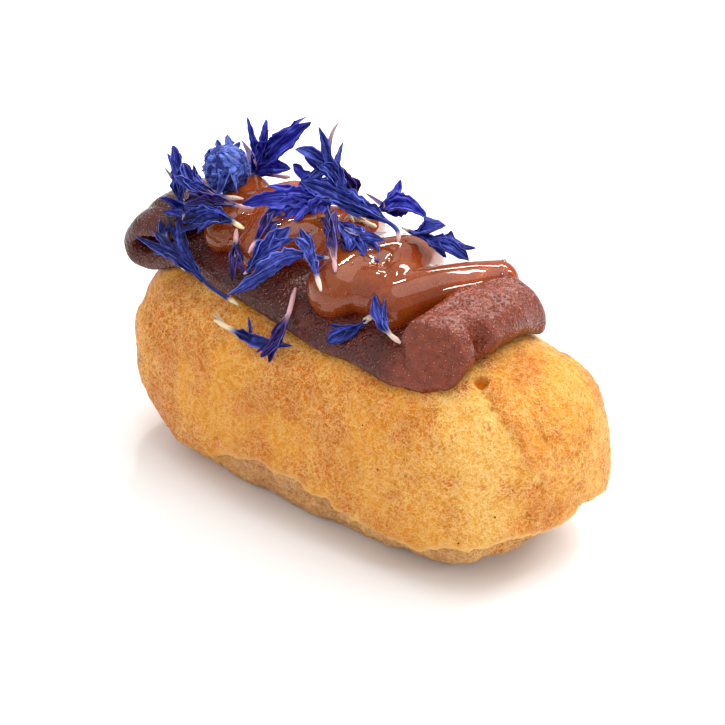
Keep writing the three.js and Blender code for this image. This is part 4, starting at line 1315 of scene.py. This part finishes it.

# %% [markdown]
# ## Choux crust
#
# The crust is golden, deeper orange where it browned, with fine pale lines like flour in its
# wrinkles and a pinkish pale band below the overhang. Some of the colour is painted light:
# painted shade turns the creases a deeper orange, a painted highlight runs along the crust's
# edge, and the end that gets the most light is painted paler, partly as flour and partly as
# painted light. Painting it by hand would tie it to one map. So colours are laid over one
# another by noise on the object's place and by the marks worked out with the mesh, and colour
# and form agree. The thin winding lines are noise folded at its middle. The same lines give
# the bump, so that they stand out as they are drawn.

# %% Colours of the crust
GOLD_DEEP, GOLD_LIGHT, GOLD_PALE = linear(200, 108, 10), linear(226, 144, 30), linear(236, 166, 62)
BROWNED, PORE_BROWN, SPECK_BROWN = linear(212, 108, 10), linear(196, 98, 8), linear(92, 52, 20)
BAND_DARK, BAND_LIGHT = linear(168, 110, 72), linear(206, 154, 108)
# The first is painted shade for the creases; the second is the hole's own colour.
CREASE_SHADE_ORANGE, HOLE_AMBER = linear(226, 128, 30), linear(238, 140, 22)
FLOUR_LINE = linear(252, 214, 140)


def choux_colour(tree, broad, winding, lines, patch):
    """Two golds by broad noise, then pale patches, at one end partly painted light, browned spots,
    the band, painted shade in the creases, pale lines, pores, the hole and a few dark specks over
    them."""
    spots = use(tree, GRAIN, Vector=on_object(tree), Size=3.4)
    gold = blend(tree, ramp(tree, broad["Broad"], 0.42, 0.58), GOLD_DEEP, GOLD_LIGHT)
    band = blend(tree, ramp(tree, broad["Fine"], 0.35, 0.65), BAND_DARK, BAND_LIGHT)
    return layered(tree, gold, [
        (ramp(tree, patch, 0.45, 1.0), GOLD_PALE),
        (ramp(tree, spots["Fine"], 0.54, 0.66), BROWNED),
        (arithmetic(tree, "MULTIPLY", mark(tree, "band"), 0.75), band),
        # painted shade: the creases are painted a deeper orange
        (arithmetic(tree, "MULTIPLY", mark(tree, "crease"), 0.75), CREASE_SHADE_ORANGE),
        (lines, FLOUR_LINE),
        (ramp(tree, winding, 0.36, 0.26, end=0.25), PORE_BROWN),
        (mark(tree, "hole"), HOLE_AMBER),
        (ramp(tree, spots["Specks"], 0.05, 0.03), SPECK_BROWN),
    ])


# %% Finish of the bun


def choux_finish():
    """The crust's colours, with a bump from folded noise of two sizes and uneven gloss."""
    material, tree, shader = new_finish("choux_crust")
    place = on_object(tree)
    broad = use(tree, GRAIN, Vector=place, Size=1.7)
    fine = use(tree, GRAIN, Vector=place, Size=0.95, Stretch=(0.9, 0.9, 1.1))
    finer = use(tree, GRAIN, Vector=place, Size=0.5)
    winding = arithmetic(tree, "PINGPONG", fine["Fine"], 0.5)
    thinner = arithmetic(tree, "PINGPONG", finer["Fine"], 0.5)
    patch = arithmetic(tree, "ADD", mark(tree, "flour_and_light"), ramp(tree, broad["Fine"], 0.3, 0.9))
    lines = arithmetic(tree, "MAXIMUM", ramp(tree, winding, 0.46, 0.5),
                       ramp(tree, thinner, 0.46, 0.5))
    lines = arithmetic(tree, "MULTIPLY", lines, ramp(tree, patch, -0.8, 1.2))
    # painted highlight: the rim mark paints the crust's edge in the pale line colour, as light caught
    # on it
    rim = arithmetic(tree, "MULTIPLY", mark(tree, "rim"), 0.7)
    lines = arithmetic(tree, "MAXIMUM", lines, rim)
    height = arithmetic(tree, "ADD", arithmetic(tree, "MULTIPLY", winding, 3.0),
                        arithmetic(tree, "MULTIPLY", thinner, 1.5))
    height = arithmetic(tree, "ADD", height, broad["Fine"])
    wire(tree, shader, {"Base Color": choux_colour(tree, broad, winding, lines, patch),
         "Normal": bumped(tree, height, 0.3), "Roughness": ramp(tree, broad["Fine"], 0, 1, 0.36, 0.6)},
         Specular_IOR_Level=0.18, Subsurface_Weight=0.08,
         Subsurface_Radius=(1.0, 0.4, 0.15), Subsurface_Scale=1.0 * MM)
    return material


choux = choux_finish()
print("nodes of the crust:", len(choux.node_tree.nodes))

# %% [markdown]
# ## Chocolate
#
# The ribbon is dark reddish chocolate on its upper face. Where it is turned over it is painted
# warmer and lighter, painted light that makes the flap look more brightly lit than the strip.
# All of it is covered with tiny droplets that sparkle where a window is mirrored. They are far
# too small for the mesh, so they are a bump from small cells, over a crinkled unevenness. The
# gloss is sharper on a droplet than beside it, and on the turned part some droplets carry
# painted highlights as pale dots.

# %% Finish of the ribbon
COCOA_DARK, COCOA_LIGHT, COCOA_FINE = linear(56, 14, 6), linear(82, 25, 11), linear(130, 54, 34)
# The first pair is painted light for the turned flap, the last a painted highlight for droplets.
LIT_FLAP_DARK, LIT_FLAP_LIGHT, PAINTED_DEW_GLINT = linear(102, 37, 15), linear(127, 53, 27), linear(214, 166, 146)


def cocoa_colour(tree, broad, dew):
    """Two browns by broad noise, a lighter and warmer pair as painted light where the strip is
    turned, fine grains, and pale dots on droplets in patches as painted highlights."""
    turned = mark(tree, "turned")
    brown = blend(tree, ramp(tree, broad["Broad"], 0.35, 0.65), COCOA_DARK, COCOA_LIGHT)
    # painted light: the turned flap gets a lighter, redder pair of browns, as if more brightly lit
    # than the strip
    lit_flap = blend(tree, ramp(tree, broad["Fine"], 0.35, 0.65), LIT_FLAP_DARK, LIT_FLAP_LIGHT)
    # painted highlights: pale dots on droplets in patches, mostly on the turned flap
    painted_glints = arithmetic(tree, "MULTIPLY", ramp(tree, dew["Specks"], 0.22, 0.1),
                     ramp(tree, broad["Fine"], 0.42, 0.58))
    painted_glints = arithmetic(tree, "MULTIPLY", painted_glints, ramp(tree, turned, 0, 1, 0.5, 0.8))
    grains = ramp(tree, dew["Fine"], 0.55, 0.8)
    return layered(tree, brown, [(turned, lit_flap), (grains, COCOA_FINE), (painted_glints, PAINTED_DEW_GLINT)])


def chocolate_finish():
    """Droplets as cells in the bump, over crinkles as folded noise, and a satin gloss."""
    material, tree, shader = new_finish("chocolate")
    place = on_object(tree)
    broad = use(tree, GRAIN, Vector=place, Size=1.2)
    dew = use(tree, GRAIN, Vector=place, Size=0.46)
    drop = ramp(tree, dew["Specks"], 0.5, 0.04)
    crinkle = arithmetic(tree, "PINGPONG", dew["Broad"], 0.5)
    height = arithmetic(tree, "ADD", arithmetic(tree, "MULTIPLY", drop, 1.7),
                        arithmetic(tree, "MULTIPLY", broad["Fine"], 1.6))
    height = arithmetic(tree, "ADD", height, arithmetic(tree, "MULTIPLY", crinkle, 5.0))
    wire(tree, shader, {"Base Color": cocoa_colour(tree, broad, dew),
         "Normal": bumped(tree, height, 0.1), "Roughness": ramp(tree, drop, 0, 1, 0.24, 0.16)},
         Specular_IOR_Level=0.38)
    return material


chocolate = chocolate_finish()
print("nodes of the chocolate:", len(chocolate.node_tree.nodes))

# %% [markdown]
# ## Amber gel
#
# The gel is clear but coloured: light that goes through it loses its blue and green, so thick
# parts look deeper. Clear glass alone would look grey over the dark chocolate. So it is glass
# of low index with an absorbing volume, and a share of its light is thrown back as amber.

# %% Finish of the gel and its bubbles
GEL_INDEX, GEL_ROUGHNESS, GEL_CLEAR = 1.38, 0.04, 0.77
AMBER_DEEP, AMBER_LIGHT = linear(214, 94, 28), linear(240, 124, 46)
GEL_THROUGH, GEL_DENSITY = linear(232, 180, 136), 130
BUBBLE_TINT = (1, 0.86, 0.7, 1)


def gel_finish():
    """Tinted clear gel: part goes through, part is scattered back as amber."""
    material, tree, shader = new_finish("amber_gel")
    broad = use(tree, GRAIN, Vector=on_object(tree), Size=1.4)
    amber = blend(tree, ramp(tree, broad["Broad"], 0.35, 0.65), AMBER_DEEP, AMBER_LIGHT)
    wire(tree, shader, {"Base Color": amber, "Normal": bumped(tree, broad["Broad"], 0.4, 0.15)},
         Roughness=GEL_ROUGHNESS, IOR=GEL_INDEX, Transmission_Weight=GEL_CLEAR, Coat_Weight=0.25,
         Coat_Roughness=0.02)
    body = node(tree, "ShaderNodeVolumeAbsorption", {"Color": GEL_THROUGH, "Density": GEL_DENSITY})
    tree.links.new(body.outputs["Volume"], tree.nodes["Material Output"].inputs["Volume"])
    return material


def bubble_finish():
    """A dome of gel blown up by air, clearer than the gel round it."""
    material, tree, shader = new_finish("air_bubble")
    wire(tree, shader, None, Base_Color=BUBBLE_TINT, Roughness=0.0, IOR=GEL_INDEX,
         Transmission_Weight=1.0)
    return material


amber_gel = gel_finish()
print("nodes of the gel:", len(amber_gel.node_tree.nodes))

# %% [markdown]
# ## Dried petals
#
# Dried cornflower petals are deep blue to purple with pale rims, and their tubes fade to pink,
# cream or white at the base. A single blue would look like cloth. The threads along each blade
# come from noise on the blade's own map, squeezed across and drawn out along it. The mark of
# ridges and folds worked out with the mesh paints light and shade: it lightens what stands up
# and darkens the folds and the ball's core between the lobes.

# %% Finish of the petals
PETAL_PAINTS = {
    "blue": (linear(8, 12, 100), linear(108, 126, 242), linear(232, 206, 190)),
    "bright": (linear(12, 12, 128), linear(108, 116, 250), linear(228, 200, 222)),
    "navy": (linear(6, 6, 56), linear(72, 90, 214), linear(238, 216, 176)),
    "purple": (linear(18, 6, 50), linear(96, 74, 180), linear(220, 172, 176)),
    "pale": (linear(12, 22, 100), linear(108, 134, 232), linear(200, 200, 232)),
}
PETAL_RIM = linear(160, 168, 244)
THREAD_SCALE = (7.0, 1.4, 1.0)


def petal_colour(tree, name, streaks):
    """Dark and light blue by threads, mottling and painted light and shade on ridges and folds
    together, a pale rim, and the base's colour where the shade mark, made uneven by the threads,
    is low."""
    dark, light, base = PETAL_PAINTS[name]
    mottle = use(tree, GRAIN, Vector=on_object(tree), Size=1.1)
    fold_shade_and_rim = mark(tree, "fold_shade_and_rim")
    share = arithmetic(tree, "MULTIPLY", ramp(tree, streaks, 0.44, 0.56),
                       ramp(tree, mottle["Fine"], 0.25, 0.6))
    # Painted light and shade: the light blue shows only where the mark is high, and the folds stay
    # dark.
    share = arithmetic(tree, "MULTIPLY", share, ramp(tree, fold_shade_and_rim, 0.1, 0.9))
    blue = layered(tree, dark, [(share, light), (ramp(tree, fold_shade_and_rim, 0.95, 1.9), PETAL_RIM)])
    uneven = arithmetic(tree, "ADD", mark(tree, "shade"), arithmetic(tree, "MULTIPLY", streaks, 0.5))
    return blend(tree, ramp(tree, uneven, 0.45, 1.0), base, blue)


def petal_finish(name):
    """Noise on the blade's map, seven times as fine across as it is wide, for colour and bump."""
    material, tree, shader = new_finish("petal_" + name)
    own = node(tree, "ShaderNodeUVMap", uv_map="UVMap").outputs["UV"]
    drawn = node(tree, "ShaderNodeMapping", {"Vector": own, "Scale": THREAD_SCALE}).outputs[0]
    streaks = node(tree, "ShaderNodeTexNoise", {"Vector": drawn, "Scale": 1.0, "Detail": 3.0,
                   "Roughness": 0.7}).outputs["Fac"]
    wire(tree, shader, {"Base Color": petal_colour(tree, name, streaks),
         "Normal": bumped(tree, streaks, 0.3)},
         Roughness=0.5, Specular_IOR_Level=0.25, Subsurface_Weight=0.1,
         Subsurface_Radius=(0.3, 0.3, 1.0), Subsurface_Scale=0.4 * MM)
    return material


finish_of = {name: petal_finish(name) for name in PETAL_PAINTS}
print("petal finishes:", sorted(finish_of))

# %% [markdown]
# ## The pieces
#
# Each mesh becomes an object at the origin that rides on the one body and takes the place of
# its CAD node. A blade has no thickness yet. The Solidify modifier gives it one evenly to both
# sides, and is applied, so that the mesh itself has it.

# %% All pieces
PETAL_THICK = 0.08


def give_wall(piece):
    """A thin wall, half to each side of the surface."""
    wall = piece.modifiers.new("wall", "SOLIDIFY")
    wall.thickness = PETAL_THICK * MM
    wall.offset = 0
    apply_modifiers(piece)


bun = make_piece("bun", bun_surface, ["choux_bun"], choux)
ribbon = make_piece("ribbon", ribbon_surface, ["chocolate_ribbon"], chocolate)
gel = make_piece("amber_gel", gel_surface, ["gel"], amber_gel)
petals = [make_piece("petals_" + name, floret_mesh(name, index), ["floret_" + name],
                     finish_of[FLORETS[name]["finish"]])
          for index, name in enumerate(FLORETS)]
petals.append(make_piece("petals_ball", ball_mesh(), ["floret_ball"], finish_of["pale"]))
for petal in petals:
    give_wall(petal)

# %% [markdown]
# ## Air bubbles
#
# Small bubbles rose in the gel and stopped at its skin, where each lifts a little dome. Noise
# in the bump would only roughen the gloss. So each is a small ball, set less than half its
# radius under the skin, and most of them are tiny, because a power of a random number is small
# more often than large.

# %% Bubbles in the gel
BUBBLES, BUBBLE_SEED, BUBBLE_DEPTH = 110, 7, 0.45
SMALLEST, MORE_UP_TO, MOSTLY_SMALL = 0.13, 0.34, 2.5
BUBBLE_RINGS, BUBBLE_SIDES, FACES_UP = 8, 12, 0.3


def bubble_mesh():
    """Balls whose middles lie under randomly picked points of the gel's upper skin."""
    picked = np.random.default_rng(BUBBLE_SEED)
    skin = read_vertices(gel.data, "co") / MM
    normals = read_vertices(gel.data, "normal")
    upper = np.flatnonzero(normals[:, 2] > FACES_UP)
    chosen = picked.choice(upper, BUBBLES, replace=False)
    radii = SMALLEST + MORE_UP_TO * picked.random(BUBBLES) ** MOSTLY_SMALL
    ball = sphere_points(BUBBLE_RINGS, BUBBLE_SIDES)
    middles = skin[chosen] - normals[chosen] * BUBBLE_DEPTH * radii[:, None]
    points = middles[:, None] + radii[:, None, None] * ball
    faces = copies_of(ring_faces(BUBBLE_RINGS, BUBBLE_SIDES), len(ball), BUBBLES)
    return make_mesh("gel_bubbles", points.reshape(-1, 3), faces)


bubbles = make_piece("bubbles", bubble_mesh(), [], bubble_finish())
print("bubble triangles:", count_triangles(bubbles.data))

# %% [markdown]
# ## Floor, light and camera
#
# The photograph is a product shot on white. Most of its light is soft and comes from all round
# and from above, so a bright world, a wide sun as key and a wider one from the front as fill
# give it. A single lamp would throw hard shadows. The gel and the chocolate mirror long windows,
# so a few rectangular lights stand behind and above, narrow enough to draw streaks. The floor is
# matt and pale, and the lens is long and looks from the near right corner.

# %% Floor
FLOOR_SIZE, FLOOR_SUNK = 6.0, 0.02
PAPER, WHITE = (0.89, 0.89, 0.89, 1), (1, 1, 1, 1)


def studio_floor():
    """A wide matt plane a hair under the foot."""
    half = FLOOR_SIZE / 2 / MM
    corners = [[x * half, y * half, -FLOOR_SUNK] for x, y in ((-1, -1), (1, -1), (1, 1), (-1, 1))]
    plane = add_object("floor", make_mesh("floor", corners, [[0, 1, 2, 3]]))
    material, tree, shader = new_finish("white_paper")
    wire(tree, shader, None, Base_Color=PAPER, Roughness=0.9)
    plane.data.materials.append(material)


studio_floor()
print("floor width in metres:", FLOOR_SIZE)

# %% Lights
AIM = (0, 0, 30)
SUNS = {  # direction it comes from, spread in degrees, strength
    "key": ((0.24, 0.25, 0.94), 60, 1.5),
    "fill": ((-0.25, -0.6, 0.76), 90, 0.75),
}
WINDOWS = {  # place in millimetres, width and height, power in watts
    "strip_back": ((-85, 292, 290), (270, 32), 0.65),
    "strip_right": ((150, 330, 260), (24, 130), 0.5),
    "strip_side": ((420, 20, 250), (60, 26), 0.25),
    "glint": ((-200, 190, 380), (30, 30), 0.35),
    "strip_top": ((50, 225, 420), (150, 28), 0.5),
}
WORLD_STRENGTH = 0.68


def soft_sun(name, toward, spread, strength):
    """A distant soft light: it comes from the given direction, spread over an angle."""
    lamp = bpy.data.lights.new(name, "SUN")
    lamp.angle = math.radians(spread)
    lamp.energy = strength
    holder = add_object(name, lamp)
    holder.rotation_euler = Vector(toward).to_track_quat("Z", "Y").to_euler()


def window_light(name, place, size, power):
    """A rectangular light at a place in millimetres, turned to face the ribbon."""
    lamp = bpy.data.lights.new(name, "AREA")
    lamp.shape = "RECTANGLE"
    lamp.size, lamp.size_y = size[0] * MM, size[1] * MM
    lamp.energy = power
    holder = add_object(name, lamp)
    holder.location = Vector(place) * MM
    holder.rotation_euler = (Vector(AIM) - Vector(place)).to_track_quat("-Z", "Y").to_euler()


for name, (toward, spread, strength) in SUNS.items():
    soft_sun(name, toward, spread, strength)
for name, (place, opening, power) in WINDOWS.items():
    window_light(name, place, opening, power)
world = bpy.data.worlds.new("studio")
world.use_nodes = True
world.node_tree.nodes["Background"].inputs["Color"].default_value = WHITE
world.node_tree.nodes["Background"].inputs["Strength"].default_value = WORLD_STRENGTH
bpy.context.scene.world = world
bpy.context.scene.view_settings.view_transform = "Standard"
bpy.context.scene.view_settings.look = "None"
print("lights:", len(bpy.data.lights))

# %% Camera
AZIMUTH, ELEVATION, DISTANCE = math.radians(40.0), math.radians(31.5), 450
TARGET = Vector((-2.7, 3.0, 15.0))
SENSOR, FOCAL_PIXELS, PICTURE = 36.0, 3370, 725
CLIP = 0.01, 20
back = Vector((math.sin(AZIMUTH) * math.cos(ELEVATION), -math.cos(AZIMUTH) * math.cos(ELEVATION),
               math.sin(ELEVATION)))
lens = bpy.data.cameras.new("camera")
lens.sensor_width = SENSOR
lens.lens = SENSOR * FOCAL_PIXELS / PICTURE
lens.clip_start, lens.clip_end = CLIP
camera = add_object("camera", lens)
camera.location = (TARGET + back * DISTANCE) * MM
camera.rotation_euler = (-back).to_track_quat("-Z", "Y").to_euler()
bpy.context.scene.camera = camera
print("lens mm:", round(lens.lens, 1))
